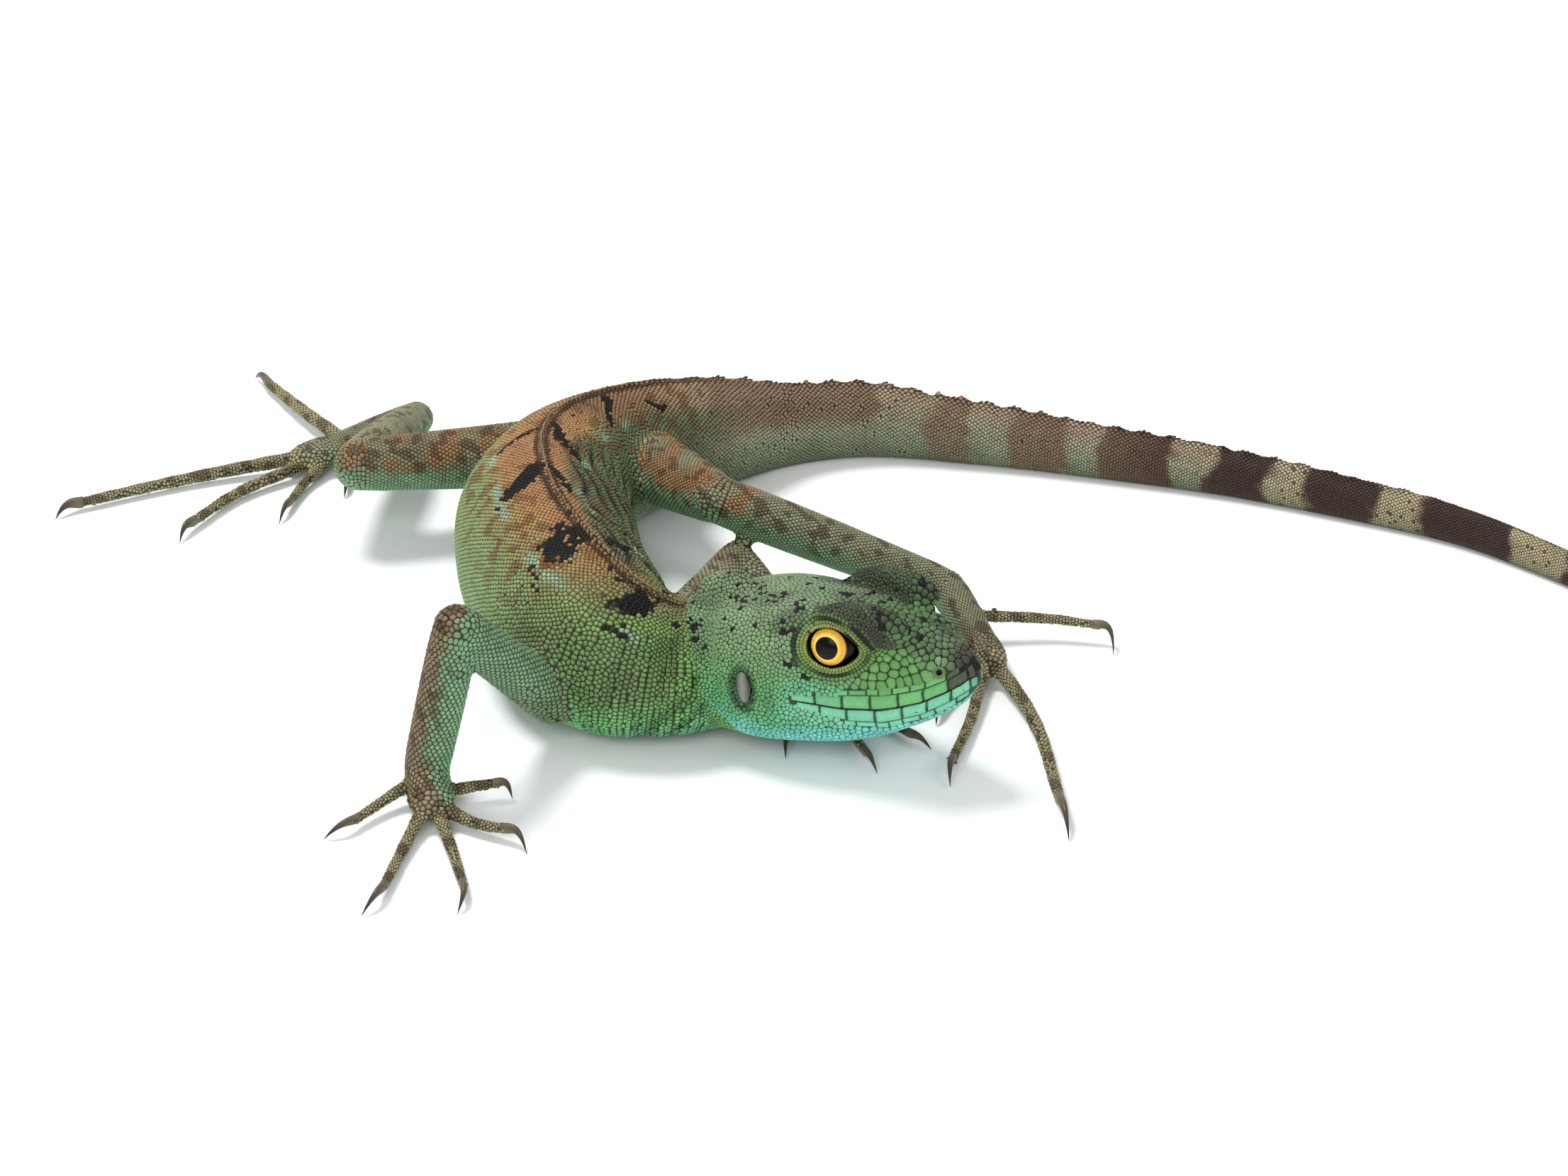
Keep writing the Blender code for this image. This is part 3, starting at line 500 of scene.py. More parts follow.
def copyFlesh():
    copies = []
    for node in [nodes[name] for name in nodes if isFlesh(name)]:
        copy = node.copy()
        copy.data = node.data.copy()
        for key in list(copy.keys()):
            del copy[key]
        copy.parent = None
        bpy.context.scene.collection.objects.link(copy)
        copies.append(copy)
        editAll(copy, bpy.ops.mesh.remove_doubles, threshold=skinSetup["merge"] * mm)
    return joined(copies[::-1], "skin")


def applyModifier(obj, kind, **values):
    selectOnly(obj)
    modifier = obj.modifiers.new(kind.lower(), kind)
    for key, value in values.items():
        setattr(modifier, key, value)
    bpy.ops.object.modifier_apply(modifier=modifier.name)


def readRows(items, key, width, kind=np.float32):
    flat = np.empty(len(items) * width, kind)
    items.foreach_get(key, flat)
    return flat.reshape(-1, width)


def vertexRows(mesh):
    return readRows(mesh.vertices, "co", 3).astype(float) / mm


def normalRows(mesh):
    return readRows(mesh.vertex_normals, "vector", 3).astype(float)


def setVertices(mesh, points):
    mesh.vertices.foreach_set("co", (points * mm).astype(np.float32).ravel())
    mesh.update()


def spread(mesh, weights, values, steps):
    # evens a value out over the surface, by the same steps as the Smooth modifier takes
    a, b = readRows(mesh.edges, "vertices", 2, np.int32).T
    count = len(values)
    degree = np.maximum(np.bincount(a, minlength=count) + np.bincount(b, minlength=count), 1)
    for _ in range(steps):
        around = np.bincount(a, values[b], count) + np.bincount(b, values[a], count)
        values = values + 0.5 * weights * (around / degree - values)
    return values


def softness(points, near):
    # how far the solids' flat facets are smoothed: much on the trunk, little on toes and lids
    onHead = partOwners[near] == 0
    local = intoHead(points)
    soft = np.clip(0.17 * partSizes[near], 0.3, skinSetup["softest"])
    soft[onHead] = skinSetup["headSoft"]
    for middle, (least, more, edge) in (
        (eyeSetup["at"], skinSetup["eyeSoft"]),
        (headSetup["drum"], skinSetup["drumSoft"]),
    ):
        away = np.linalg.norm(folded(local) - np.array(middle), axis=1)
        soft = np.where(onHead, np.minimum(soft, np.clip(least + more * (away - edge), least, 1)), soft)
    return np.where(onHead & (local[:, 0] > -7), np.minimum(soft, skinSetup["snoutSoft"]), soft)


def makeSkin():
    skin = copyFlesh()
    applyModifier(skin, "DISPLACE", strength=skinSetup["swell"] * mm, mid_level=0.0, direction="NORMAL")
    applyModifier(skin, "REMESH", mode="VOXEL", voxel_size=skinSetup["voxel"] * mm, use_smooth_shade=True)
    print("skin remeshed:", len(skin.data.vertices))
    before = vertexRows(skin.data)
    near = nearestPart(before)
    soft = softness(before, near)
    weights = (soft / skinSetup["softest"]) ** 2
    group = skin.vertex_groups.new(name="soft")
    levels = np.round(weights * skinSetup["levels"]) / skinSetup["levels"]
    for level in np.unique(levels):
        group.add(np.nonzero(levels == level)[0].tolist(), float(level), "REPLACE")
    applyModifier(skin, "SMOOTH", factor=1.0, iterations=skinSetup["steps"], vertex_group="soft")
    after = vertexRows(skin.data)
    normals = normalRows(skin.data)
    lost = ((before - after) * normals).sum(1)
    after += normals * spread(skin.data, levels, lost, skinSetup["steps"])[:, None]
    depth = skinSetup["swell"] + np.minimum(skinSetup["coat"], 0.16 * partSizes[near]) - folds(after, near)
    after -= normals * depth[:, None]
    after[:, 2] = np.maximum(after[:, 2], skinSetup["lowest"])
    setVertices(skin.data, after)
    skin.vertex_groups.clear()
    return skin, near


skin, skinNear = makeSkin()
print("skin ready")


# Colours of the hide: skin and scales ask the same function, so they carry the same markings

markSetup = {
    # each dark mark runs from one place to another (along, off the ridge), with a width at each end
    "dark": [
        (25.0, -0.2, 23.6, -3.0, 2.3, 1.9),
        (13.3, -1.2, 13.7, -2.7, 1.45, 1.35),
        (41.3, -1.2, 39.4, -3.6, 1.5, 1.4),
        (39.2, -3.8, 38.0, -5.6, 1.2, 1.0),
        (53.5, -1.8, 51.6, -3.6, 0.55, 0.5),
        (51.0, -4.6, 49.5, -6.2, 0.5, 0.4),
        (41.0, 0.9, 38.6, 1.8, 0.75, 0.6),
        (37.6, 2.1, 35.5, 2.5, 0.5, 0.35),
        (55.0, 0.4, 50.6, 2.4, 0.6, 0.85),
        (49.8, 2.8, 46.2, 4.6, 0.55, 0.7),
        (67.0, 1.6, 65.2, 3.4, 0.6, 0.6),
        (64.4, 4.2, 62.6, 5.8, 0.75, 0.5),
        (72.5, 3.5, 74.5, 5.3, 0.35, 0.45),
        (66.5, -2.0, 64.0, -5.2, 0.7, 0.5),
        (25.0, 2.4, 22.4, 2.2, 0.5, 0.3),
        (21.4, 2.2, 20.0, 2.0, 0.25, 0.2),
        (11.5, 3.4, 12.5, 5.4, 0.9, 0.6),
        (24.2, 4.6, 23.0, 7.4, 0.9, 0.7),
        (2.6, 2.4, 3.4, 4.2, 0.6, 0.4),
        (3.0, -1.0, 3.6, -2.4, 0.5, 0.3),
    ],
    # the brown that fills the lower half of each blotch
    "rust": [
        (23.6, -3.0, 23.0, -4.6, 1.7, 1.3),
        (38.6, -4.4, 37.8, -5.8, 1.2, 0.9),
        (50.4, 2.4, 46.2, 4.2, 0.9, 0.8),
    ],
    "dots": [
        (14.0, -6.8), (13.5, -5.9), (24.0, -6.6), (22.5, -7.1), (16.5, 0.0), (15.5, 0.9),
        (14.2, 0.5), (12.0, 0.2), (18.2, 0.6), (30.0, 1.0), (32.4, 1.1), (21.8, -7.9), (12.9, -7.2),
        (36.5, -7.2), (9.4, -3.0), (8.2, 1.8), (60.0, -1.8), (58.6, 1.6), (6.8, -1.2), (5.6, 0.8),
    ],
    "pale": [
        (41.0, -6.6, 38.4, -6.6, 0.8, 0.9),
        (36.8, -6.9, 34.0, -6.4, 1.0, 0.7),
        (25.2, -6.0, 23.4, -5.9, 0.9, 0.8),
        (21.8, -5.9, 19.8, -5.4, 0.9, 0.7),
        (48.6, -6.9, 47.4, -6.9, 0.8, 0.7),
        (13.0, -6.3, 12.0, -6.9, 0.6, 0.6),
        (36.0, 4.0, 33.6, 4.3, 0.7, 0.6),
        (32.4, 4.5, 30.6, 4.6, 0.6, 0.5),
        (46.0, 5.4, 44.8, 5.8, 0.8, 0.6),
        (58.4, 7.0, 57.2, 7.2, 0.8, 0.7),
        (66.2, 6.4, 65.0, 6.8, 0.7, 0.6),
        (24.6, 8.6, 22.8, 9.0, 0.8, 0.7),
    ],
    # start and end of each dark band of the tail
    "bands": [
        (82, 111), (118, 125), (129, 137.5), (142, 152), (157, 165), (171, 179.5), (186.5, 200),
        (207, 216), (221, 232), (237, 247), (252, 264), (269, 280), (285, 297), (302, 313),
        (318, 329), (334, 345), (350, 360), (364, 376),
    ],
}

# screen values from 0 to 1, each ramp from the back or crown down to the belly or throat
shades = {
    "trunk": [
        (0.0, (0.64, 0.47, 0.31)), (0.12, (0.65, 0.49, 0.30)), (0.2, (0.58, 0.53, 0.33)),
        (0.3, (0.53, 0.57, 0.37)), (0.45, (0.51, 0.60, 0.40)), (0.62, (0.47, 0.62, 0.43)),
        (0.82, (0.48, 0.70, 0.54)), (1.0, (0.58, 0.78, 0.68)),
    ],
    "neck": [
        (0.0, (0.48, 0.44, 0.28)), (0.12, (0.46, 0.50, 0.30)), (0.3, (0.45, 0.61, 0.33)),
        (0.6, (0.44, 0.68, 0.38)), (0.85, (0.45, 0.72, 0.52)), (1.0, (0.50, 0.76, 0.64)),
    ],
    "pelvis": [
        (0.0, (0.54, 0.40, 0.29)), (0.2, (0.51, 0.40, 0.28)), (0.35, (0.51, 0.48, 0.34)),
        (0.55, (0.50, 0.57, 0.42)), (1.0, (0.56, 0.70, 0.60)),
    ],
    "head": [
        (0.0, (0.51, 0.59, 0.45)), (0.2, (0.47, 0.60, 0.42)), (0.32, (0.43, 0.62, 0.40)),
        (0.45, (0.39, 0.63, 0.41)), (0.56, (0.38, 0.65, 0.44)), (0.68, (0.41, 0.73, 0.59)),
        (0.82, (0.47, 0.81, 0.75)), (1.0, (0.51, 0.83, 0.80)),
    ],
    "limb": [
        (0.0, (0.53, 0.52, 0.41)), (0.3, (0.51, 0.54, 0.42)), (0.48, (0.48, 0.60, 0.45)),
        (1.0, (0.50, 0.66, 0.50)),
    ],
    # the tail's lower side is darker: painted shade under the tail
    "tail": [
        (0.0, (0.62, 0.53, 0.43)), (0.22, (0.62, 0.56, 0.46)), (0.5, (0.60, 0.61, 0.49)),
        (0.7, (0.48, 0.52, 0.41)), (1.0, (0.40, 0.45, 0.36)),
    ],
    "tailBand": (0.47, 0.36, 0.28),
    "tailEnd": (0.25, 0.18, 0.155),
    "black": (0.04, 0.035, 0.03),
    "rust": (0.50, 0.27, 0.13),
    "pale": (0.56, 0.70, 0.62),
    "crownPlate": (0.24, 0.28, 0.21),
    "brow": (0.25, 0.27, 0.21),
    "lid": (0.55, 0.60, 0.30),
    "lidOuter": (0.38, 0.50, 0.28),
    "snoutTip": (0.27, 0.25, 0.22),
    "loreal": (0.39, 0.58, 0.32),
    "lipUpper": (0.41, 0.68, 0.41),
    "lipUpperRear": (0.44, 0.72, 0.55),
    "lipLower": (0.48, 0.77, 0.63),
    "toe": (0.62, 0.58, 0.43),
    "toeDark": (0.37, 0.31, 0.21),
    "limbBrown": (0.43, 0.36, 0.26),
    "earRim": (0.25, 0.33, 0.24),
    "snoutTop": (0.29, 0.34, 0.26),
    "tailPale": (0.68, 0.63, 0.50),
    # the hollow flank's dark olive: partly its own colour, partly painted shade of the curl
    "flank": (0.36, 0.41, 0.28),
    # painted shade in the creases of the folds
    "crease": (0.07, 0.08, 0.05),
    # painted shade on the lower flank by the arm
    "shoulder": (0.40, 0.43, 0.29),
    "freckle": (0.40, 0.25, 0.13),
    "ridgeSide": (0.18, 0.12, 0.07),
    "thigh": (0.60, 0.42, 0.25),
    "arm": (0.50, 0.39, 0.28),
    "armRoot": (0.44, 0.51, 0.36),
    "limbSpeck": (0.22, 0.16, 0.10),
    "toeBelow": (0.50, 0.56, 0.42),
}


def linear(value):
    value = np.asarray(value, float)
    return np.where(value < 0.04045, value / 12.92, ((value + 0.055) / 1.055) ** 2.4)


def rampAt(share, name):
    places, colours = zip(*shades[name])
    return np.stack([np.interp(share, places, channel) for channel in zip(*colours)], axis=1)


def stopsOf(stops, last=1.0):
    # a node ramp's places and linear colours; the last place is laid on 1
    return [(place / last, tuple(linear(tint))) for place, tint in stops]


def laid(tint, *layers):
    # each layer is a colour, or its name, and how much of it covers what is under it
    for colour, share in layers:
        over = np.asarray(shades[colour] if isinstance(colour, str) else colour, float)
        tint = tint + (over - tint) * np.clip(share, 0, 1)[:, None]
    return tint


def streak(along, off, mark):
    # 1 inside a mark that runs between two places and changes width on its way
    a, b = np.array(mark[:2]), np.array(mark[2:4])
    way = b - a
    share = np.clip(((along - a[0]) * way[0] + (off - a[1]) * way[1]) / max(way @ way, 1e-6), 0, 1)
    gap = np.hypot(along - a[0] - share * way[0], off - a[1] - share * way[1])
    return gap / (mark[4] + (mark[5] - mark[4]) * share)


def eyeFrame(sign):
    # the middle of an eye and its ways out, ahead and up
    x, y, z = eyeSetup["at"]
    out = unitRows(headAxes @ (np.array(eyeSetup["aim"]) * (1, sign, 1)))
    ahead = flatWay(headAxes @ np.array((1.0, 0, 0)), out)
    return headPoint(x, y * sign, z), out, ahead, np.cross(ahead, out) * sign


def eyePlaces(points):
    # how far points lie ahead of, over and outside the middle of each eye
    for sign in (-1, 1):
        centre, out, ahead, up = eyeFrame(sign)
        gap = points - centre
        yield gap @ ahead, gap @ up, gap @ out


def lidGap(points):
    # how far a point of the head lies outside the rim of the nearer eye opening
    best = np.full(len(points), 99.0)
    for u, v, w in eyePlaces(points):
        long, high = lidSetup["length"] + 0.35 * ease(u, 0, 3), lidSetup["height"]
        ring = (np.hypot(u / long, v / high) - 1) * (long + high) / 2
        best = np.where(w > 0.3, np.minimum(best, ring), best)
    return best


lidSetup = {
    "length": 2.95,
    "height": 2.45,
    "rows": [(0.22, 0.34), (0.58, 0.38), (0.98, 0.42), (1.42, 0.46)],  # distance from the rim, size
    "tall": 0.07,
    # the smooth dark brow: its top and foot over the middle of the eye, at a distance ahead of it
    "browTop": [(-3.6, 0.5), (-2.6, 3.9), (0.7, 5.9), (4, 5.2), (6.5, 3.2), (8.0, 0.9)],
    "browFoot": [(-3.6, 2.8), (0, 2.4), (2.5, 1.6), (4, 0.7), (6.5, 0.2), (8.0, 0.9)],
}


def browShare(points):
    # 1 on the dark patch over each eye
    share = np.zeros(len(points))
    for u, v, w in eyePlaces(points):
        top, foot = onTable(u, lidSetup["browTop"]), onTable(u, lidSetup["browFoot"])
        share = np.maximum(share, ease(top - v, -0.2, 0.25) * ease(v - foot, -0.2, 0.25) * (w > -0.3))
    return share


def headHide(points, normals, rng):
    # the colours of the head: crown, brow, lids, lips, cheek and throat
    local = intoHead(points)
    behind, wide, high = np.maximum(-local[:, 0], 0), np.abs(local[:, 1]), local[:, 2]
    lip = high - mouthHeight(behind)
    above, below = headHeights(local)
    tall = np.clip(0.5 - 0.5 * np.where(above > 0, above, -below), 0, 1)
    wave, fine = ripple(points, 4.5, 21), ripple(points, 1.5, 22)
    patch = ease(ripple(points, 6, 24) + 0.5 * wave, -0.35, 0.75)
    loreal = span(behind, 3, 6, 11, 14) * ease(lip, 1.5, 3) * fade(tall, 0.5, 0.6)
    crown = ease(normals @ headAxes[:, 2], 0.45, 0.8) * fade(tall, 0.22, 0.34)
    # the top of the snout and the domes over the eyes are darker
    snoutTop = ease(high - onTable(behind, headSetup["canthus"]), -0.3, 0.6) * fade(behind, 12, 15)
    dome = ease(high, 6.4, 7.6) * fade(behind, 16, 20) * ease(wide, 1.5, 3)
    flecks = (rng.random(len(points)) < 0.17 * np.maximum(crown, snoutTop) * (0.2 + patch)) & (behind > 5)
    gap = lidGap(points)
    tint = laid(
        rampAt(np.clip(tall + 0.03 * wave, 0, 1), "head"),
        ("loreal", loreal * 0.8),
        ("crownPlate", crown * (0.12 + 0.42 * patch) * (1 - 0.5 * ease(behind, 20, 27))),
        ("snoutTop", snoutTop * (0.5 + 0.4 * patch)),
        ("brow", dome * (0.5 + 0.35 * patch)),
        ("black", flecks * 0.85),
        ("brow", browShare(points) * (0.82 + 0.12 * wave)),
        ("lidOuter", fade(gap, 1.4, 2.2) * 0.7),
        ("lid", fade(gap, 0.4, 0.85) * 0.9),
        # painted shade: a dark ring in the crease round the lids
        ("black", fade(np.abs(gap - 1.2), 0.08, 0.24) * 0.75),
        ("black", fade(gap, 0.0, 0.16) * 0.85),
    )
    # lips, with the black line of the mouth between them as painted shade in its gap, and the tip of the snout
    rear = ease(behind, 9, 19)[:, None]
    upperLip = np.array(shades["lipUpper"]) * (1 - rear) + np.array(shades["lipUpperRear"]) * rear
    corner = fade(behind, 20, 23)
    # two black flecks behind and below the eye, and the rim of the ear
    spot = np.minimum(
        np.hypot((behind - 20.6) / 1.0, (high - 2.3) / 0.3),
        np.hypot((behind - 18.6) / 0.8, (high - 0.9) / 0.3),
    )
    drum = np.hypot((behind + headSetup["drum"][0]) / 1.9, (high - headSetup["drum"][2]) / 3.1)
    return laid(
        tint,
        (upperLip, span(lip, -0.05, 0.05, 2.4, 3.1) * corner * 0.85),
        ("lipLower", span(-lip, -0.05, 0.05, 2.0, 3.2) * corner * 0.8),
        ("snoutTip", fade(behind, 2.0, 3.1) * ease(lip, 0.3, 0.9) * 0.9),
        ("snoutTip", fade(behind, 0.5, 1.8) * ease(lip, -0.8, 0.2) * 0.6),
        # painted shade: the black line in the gap of the mouth
        ("black", fade(np.abs(lip), 0.12, 0.28) * fade(behind, 18.4, 20.4)),
        ("black", fade(spot + 0.2 * fine, 0.7, 1.0) * (wide > 4) * 0.85),
        ("earRim", fade(drum, 0.85, 1.1) * (wide > 5) * 0.6),
    )


def tailHide(along, back, tall, coarse, fine, rng):
    # pale and speckled towards the end, with a brown band after each gap
    far = ease(along, 142, 175)
    sway = along + 0.8 * coarse + 0.25 * fine
    band = np.max([span(sway, a - 0.7, a + 0.7, b - 0.7, b + 0.7) for a, b in markSetup["bands"]], axis=0)
    strength = (0.6 + 0.36 * ease(along, 120, 155)) * (1 - 0.35 * ease(back, 0.6, 1.0))
    strength = strength * (1 - fade(along, 108, 116) * ease(back, 0.3, 0.55))
    return laid(
        # the tail ramp darkens towards the underside as painted shade
        rampAt(tall, "tail"),
        ("tailPale", far * fade(back, 0.6, 0.95) * 0.85),
        ("tailEnd", far * (rng.random(len(along)) < 0.035) * 0.8),
        (laid(shades["tailBand"], ("tailEnd", ease(along, 134, 162))), band * strength),
    )


def limbHide(points, normals, near, fine, seed):
    # green below and brown bars above; the thighs are browner, and the right arm on its outer side
    owner, along = partOwners[near], partAlong[near]
    rightArm = owner == partNames.index("armRight")
    legs = np.isin(owner, [partNames.index(name) for name in ("legRight", "legLeft")])
    facing = np.where(rightArm, normals @ np.array((-0.75, 0.1, 0.65)), normals[:, 2])
    tall = np.clip(0.5 - 0.5 * facing + 0.06 * fine, 0, 1)
    toe = laid(
        shades["toe"],
        ("toeDark", ease(ripple(points, 3.2, seed + 9), 0.0, 0.7) * 0.75),
        ("toeBelow", ease(-normals[:, 2], 0.1, 0.7) * 0.5),
    )
    bars = ease(ripple(points, 9, seed + 7) + 0.3 * fine, 0.1, 0.9)
    blots = 0.1 + 0.6 * ease(ripple(points, 6, seed + 12), 0.0, 0.5)
    return laid(
        rampAt(tall, "limb"),
        ("limbBrown", bars * fade(tall, 0.3, 0.55) * 0.5),
        ("thigh", legs * fade(along, 29, 36) * fade(tall, 0.3, 0.5) * blots),
        ("arm", rightArm * fade(tall, 0.28, 0.5) * ease(along, 6, 13) * 0.6),
        ("limbSpeck", ease(ripple(points, 2.4, seed + 8), 0.55, 0.8) * fade(tall, 0.4, 0.7) * 0.45),
        ("armRoot", rightArm * fade(along, 2, 8) * 0.8),
        (toe, (owner >= firstToe) * 0.85),
    )


def hideColour(points, normals, near, seed=seeds["hide"], jitter=0.1):
    # the colour of the hide at each point, as linear values
    owner = partOwners[near]
    rng = np.random.default_rng(seed)
    onSpine, along, arc, row = spinePlace(points, near)
    off = arc - ridgeAt(along)
    back = np.clip(np.abs(off) / (math.pi * (row[:, 5] + row[:, 3]) / 2) * 1.05, 0, 1)
    coarse, fine = ripple(points, 9, seed), ripple(points, 2.2, seed + 1)
    tall = np.clip(back + 0.035 * coarse + 0.015 * fine, 0, 1)
    edge = 1 + 0.2 * fine + 0.1 * ripple(points, 1.1, seed + 2)
    hollow, nape, crease = foldPlaces(points, along, arc)
    # painted shade on the hollow flank that faces into the curl, over its own olive
    flank = ease(arc - 3 * ease(along, 46, 60), 1.5, 4.5) * span(along, 12, 22, 74, 92) * fade(arc, 14, 22)
    # painted shade: a dark patch on the lower flank by the arm
    shoulder = fade(np.hypot((along - 15) / 9, (arc + 13) / 6.5), 0.4, 1.1)
    freckle = ease(ripple(points, 2.8, seed + 3) + 0.5 * coarse, 0.35, 0.9)
    freckle = freckle * fade(back, 0.28, 0.5) * (along < 84)
    ridgeSide = fade(np.abs(np.abs(off) - 0.6), 0.15, 0.5) * span(along, 4, 12, 74, 92)
    tint = laid(
        rampAt(tall, "trunk"),
        (rampAt(tall, "neck"), fade(along + 2 * coarse, 10, 25)),
        (rampAt(tall, "pelvis"), ease(along + 2 * coarse, 54, 68)),
        (tailHide(along, back, tall, coarse, fine, rng), ease(along, tailStart - 8, tailStart + 14)),
        # painted shade on the hollow flank, in the creases of the folds and on the lower flank by the arm
        ("flank", onSpine * flank * 0.85),
        ("crease", crease * (0.9 * hollow + 0.3 * nape)),
        ("shoulder", onSpine * shoulder * 0.6),
        ("freckle", freckle * 0.5 * ease(along, 16, 26)),
        *[("pale", fade(streak(along, arc, mark) * edge, 0.3, 1.3) * 0.65) for mark in markSetup["pale"]],
        *[("rust", fade(streak(along, arc, mark) * edge, 0.8, 1.2) * 0.85) for mark in markSetup["rust"]],
    )
    broken = rng.random(len(points)) > 0.05
    dark = [fade(streak(along, arc, mark) * edge, 0.9, 1.06) * broken for mark in markSetup["dark"]]
    tint = laid(
        tint,
        *[("black", share * (0.96 if number > 3 else 1)) for number, share in enumerate(dark)],
        *[("black", (np.hypot(along - x, arc - y) < 0.38) * 0.9) for x, y in markSetup["dots"]],
        ("ridgeSide", ridgeSide * 0.75),
    )
    tint = np.where((owner > 1)[:, None], limbHide(points, normals, near, fine, seed), tint)
    onHead = owner == 0
    if onHead.any():
        tint[onHead] = headHide(points[onHead], normals[onHead], rng)
    tint = linear(np.clip(tint, 0, 1))
    return tint * (1 + jitter * (rng.random((len(points), 1)) * 2 - 1) + 0.05 * fine[:, None])


# Materials

class NodeBook:
    # short ways to add and join nodes in one tree
    def __init__(self, tree):
        self.tree = tree

    def add(self, kind, **values):
        node = self.tree.nodes.new(kind)
        for key, value in values.items():
            setattr(node, key, value)
        return node

    def put(self, socket, value):
        if isinstance(value, bpy.types.NodeSocket):
            self.tree.links.new(value, socket)
        elif isinstance(value, tuple) and len(value) == 3 and socket.type == "RGBA":
            socket.default_value = (*value, 1)
        else:
            socket.default_value = value

    def math(self, operation, a, b=0.0, clamp=False):
        node = self.add("ShaderNodeMath", operation=operation, use_clamp=clamp)
        self.put(node.inputs[0], a)
        self.put(node.inputs[1], b)
        return node.outputs[0]

    def ramp(self, share, stops):
        node = self.add("ShaderNodeValToRGB")
        while len(node.color_ramp.elements) < len(stops):
            node.color_ramp.elements.new(0.5)
        for element, (place, colour) in zip(node.color_ramp.elements, stops):
            element.position = place
            element.color = (*colour, 1)
        self.put(node.inputs["Fac"], share)
        return node.outputs["Color"]

    def line(self, value, factor, shift, clamp=False):
        return self.math("ADD", self.math("MULTIPLY", value, factor), shift, clamp)

    def shaded(self, colour, light):
        # a colour made darker by a grey value
        grey = self.add("ShaderNodeCombineColor")
        for socket in grey.inputs[:3]:
            self.put(socket, light)
        node = self.add("ShaderNodeMix", data_type="RGBA", blend_type="MULTIPLY")
        # the colour sockets of this node are its seventh and eighth, and its third output
        for socket, value in ((node.inputs[0], 1.0), (node.inputs[6], colour), (node.inputs[7], grey.outputs[0])):
            self.put(socket, value)
        return node.outputs[2]

    def fill(self, node, **values):
        # sets or joins the sockets of a node, by their names without spaces
        for socket in node.inputs:
            name = socket.name.replace(" ", "")
            if name in values:
                self.put(socket, values.pop(name))
        return node

    def noise(self, vector, scale, detail=3.0, rough=0.55):
        node = self.add("ShaderNodeTexNoise")
        return self.fill(node, Vector=vector, Scale=scale, Detail=detail, Roughness=rough).outputs["Fac"]

    def bump(self, height, strength, distance):
        node = self.add("ShaderNodeBump")
        return self.fill(node, Height=height, Strength=strength, Distance=distance).outputs["Normal"]


grainSetup = {
    "speck": 2600.0,
    "cloud": 300.0,
    "light": (0.5, 0.3, 0.62),  # share of the specks, share of the clouds, least
    "gloss": (0.3, 0.34),  # roughness over the specks, and least
    "deep": 0.00005,
    "shine": {"SpecularIORLevel": 0.18, "CoatRoughness": 0.3},
}


def makeHideGrain():
    # the fine grain of horny skin: light and dark specks, painted shade in the groove between scales, a satin
    # gloss
    group = bpy.data.node_groups.new("hideGrain", "ShaderNodeTree")
    for side, sockets in (
        ("INPUT", (("Vector", "Vector"), ("Color", "Color"), ("Relief", "Float"), ("Groove", "Float"))),
        ("OUTPUT", (("Color", "Color"), ("Roughness", "Float"), ("Grain", "Float"))),
    ):
        for name, kind in sockets:
            group.interface.new_socket(name, in_out=side, socket_type="NodeSocket" + kind)
    book = NodeBook(group)
    given, end = book.add("NodeGroupInput").outputs, book.add("NodeGroupOutput")
    speck = book.noise(given["Vector"], grainSetup["speck"], 2.0)
    cloud = book.noise(given["Vector"], grainSetup["cloud"])
    ofSpeck, ofCloud, least = grainSetup["light"]
    light = book.line(speck, ofSpeck, book.line(cloud, ofCloud, least))
    # painted shade in the grooves: darker where the relief is low, at the rim of each scale and on the bare skin
    grooveShade = book.math("MULTIPLY", book.math("SUBTRACT", 1.0, given["Relief"]), given["Groove"])
    light = book.math("MULTIPLY", light, book.math("SUBTRACT", 1.0, grooveShade))
    book.fill(end, Color=book.shaded(given["Color"], light), Grain=speck)
    book.fill(end, Roughness=book.line(speck, *grainSetup["gloss"]))
    return group


hideGrain = makeHideGrain()


def startMaterial(name):
    material = bpy.data.materials.new(name)
    material.use_nodes = True
    book = NodeBook(material.node_tree)
    place = book.add("ShaderNodeTexCoord").outputs["Object"]
    turned = book.fill(book.add("ShaderNodeMapping"), Vector=place)
    return material, book, material.node_tree.nodes["Principled BSDF"], turned.outputs["Vector"]


def hideMaterial(name, groove, bump, coat=0.0):
    material, book, shader, vector = startMaterial(name)
    tint = book.add("ShaderNodeAttribute", attribute_name="hide").outputs
    hide = book.add("ShaderNodeGroup", node_tree=hideGrain)
    book.fill(hide, Vector=vector, Color=tint["Color"], Relief=tint["Alpha"], Groove=groove)
    grain = book.bump(hide.outputs["Grain"], bump, grainSetup["deep"])
    book.fill(shader, BaseColor=hide.outputs["Color"], Roughness=hide.outputs["Roughness"], Normal=grain)
    book.fill(shader, CoatWeight=coat, **grainSetup["shine"])
    return material


def setHide(mesh, tint, relief):
    attribute = mesh.attributes.get("hide") or mesh.attributes.new("hide", "FLOAT_COLOR", "POINT")
    rows = np.concatenate([tint, np.reshape(relief, (-1, 1))], axis=1)
    attribute.data.foreach_set("color", rows.astype(np.float32).ravel())


# the skin's relief is 0 everywhere, so all of it takes the painted shade of the grooves in full
skinPaint = hideMaterial("skin", 0.86, 0.4)
scalePaint = hideMaterial("scales", 0.8, 0.35)
headPaint = hideMaterial("headScales", 0.85, 0.3)
lipPaint = hideMaterial("lipPlates", 0.85, 0.2, coat=0.05)
print("materials ready")


# The coat: a root for each scale, in rows along the body, then a cell round each root

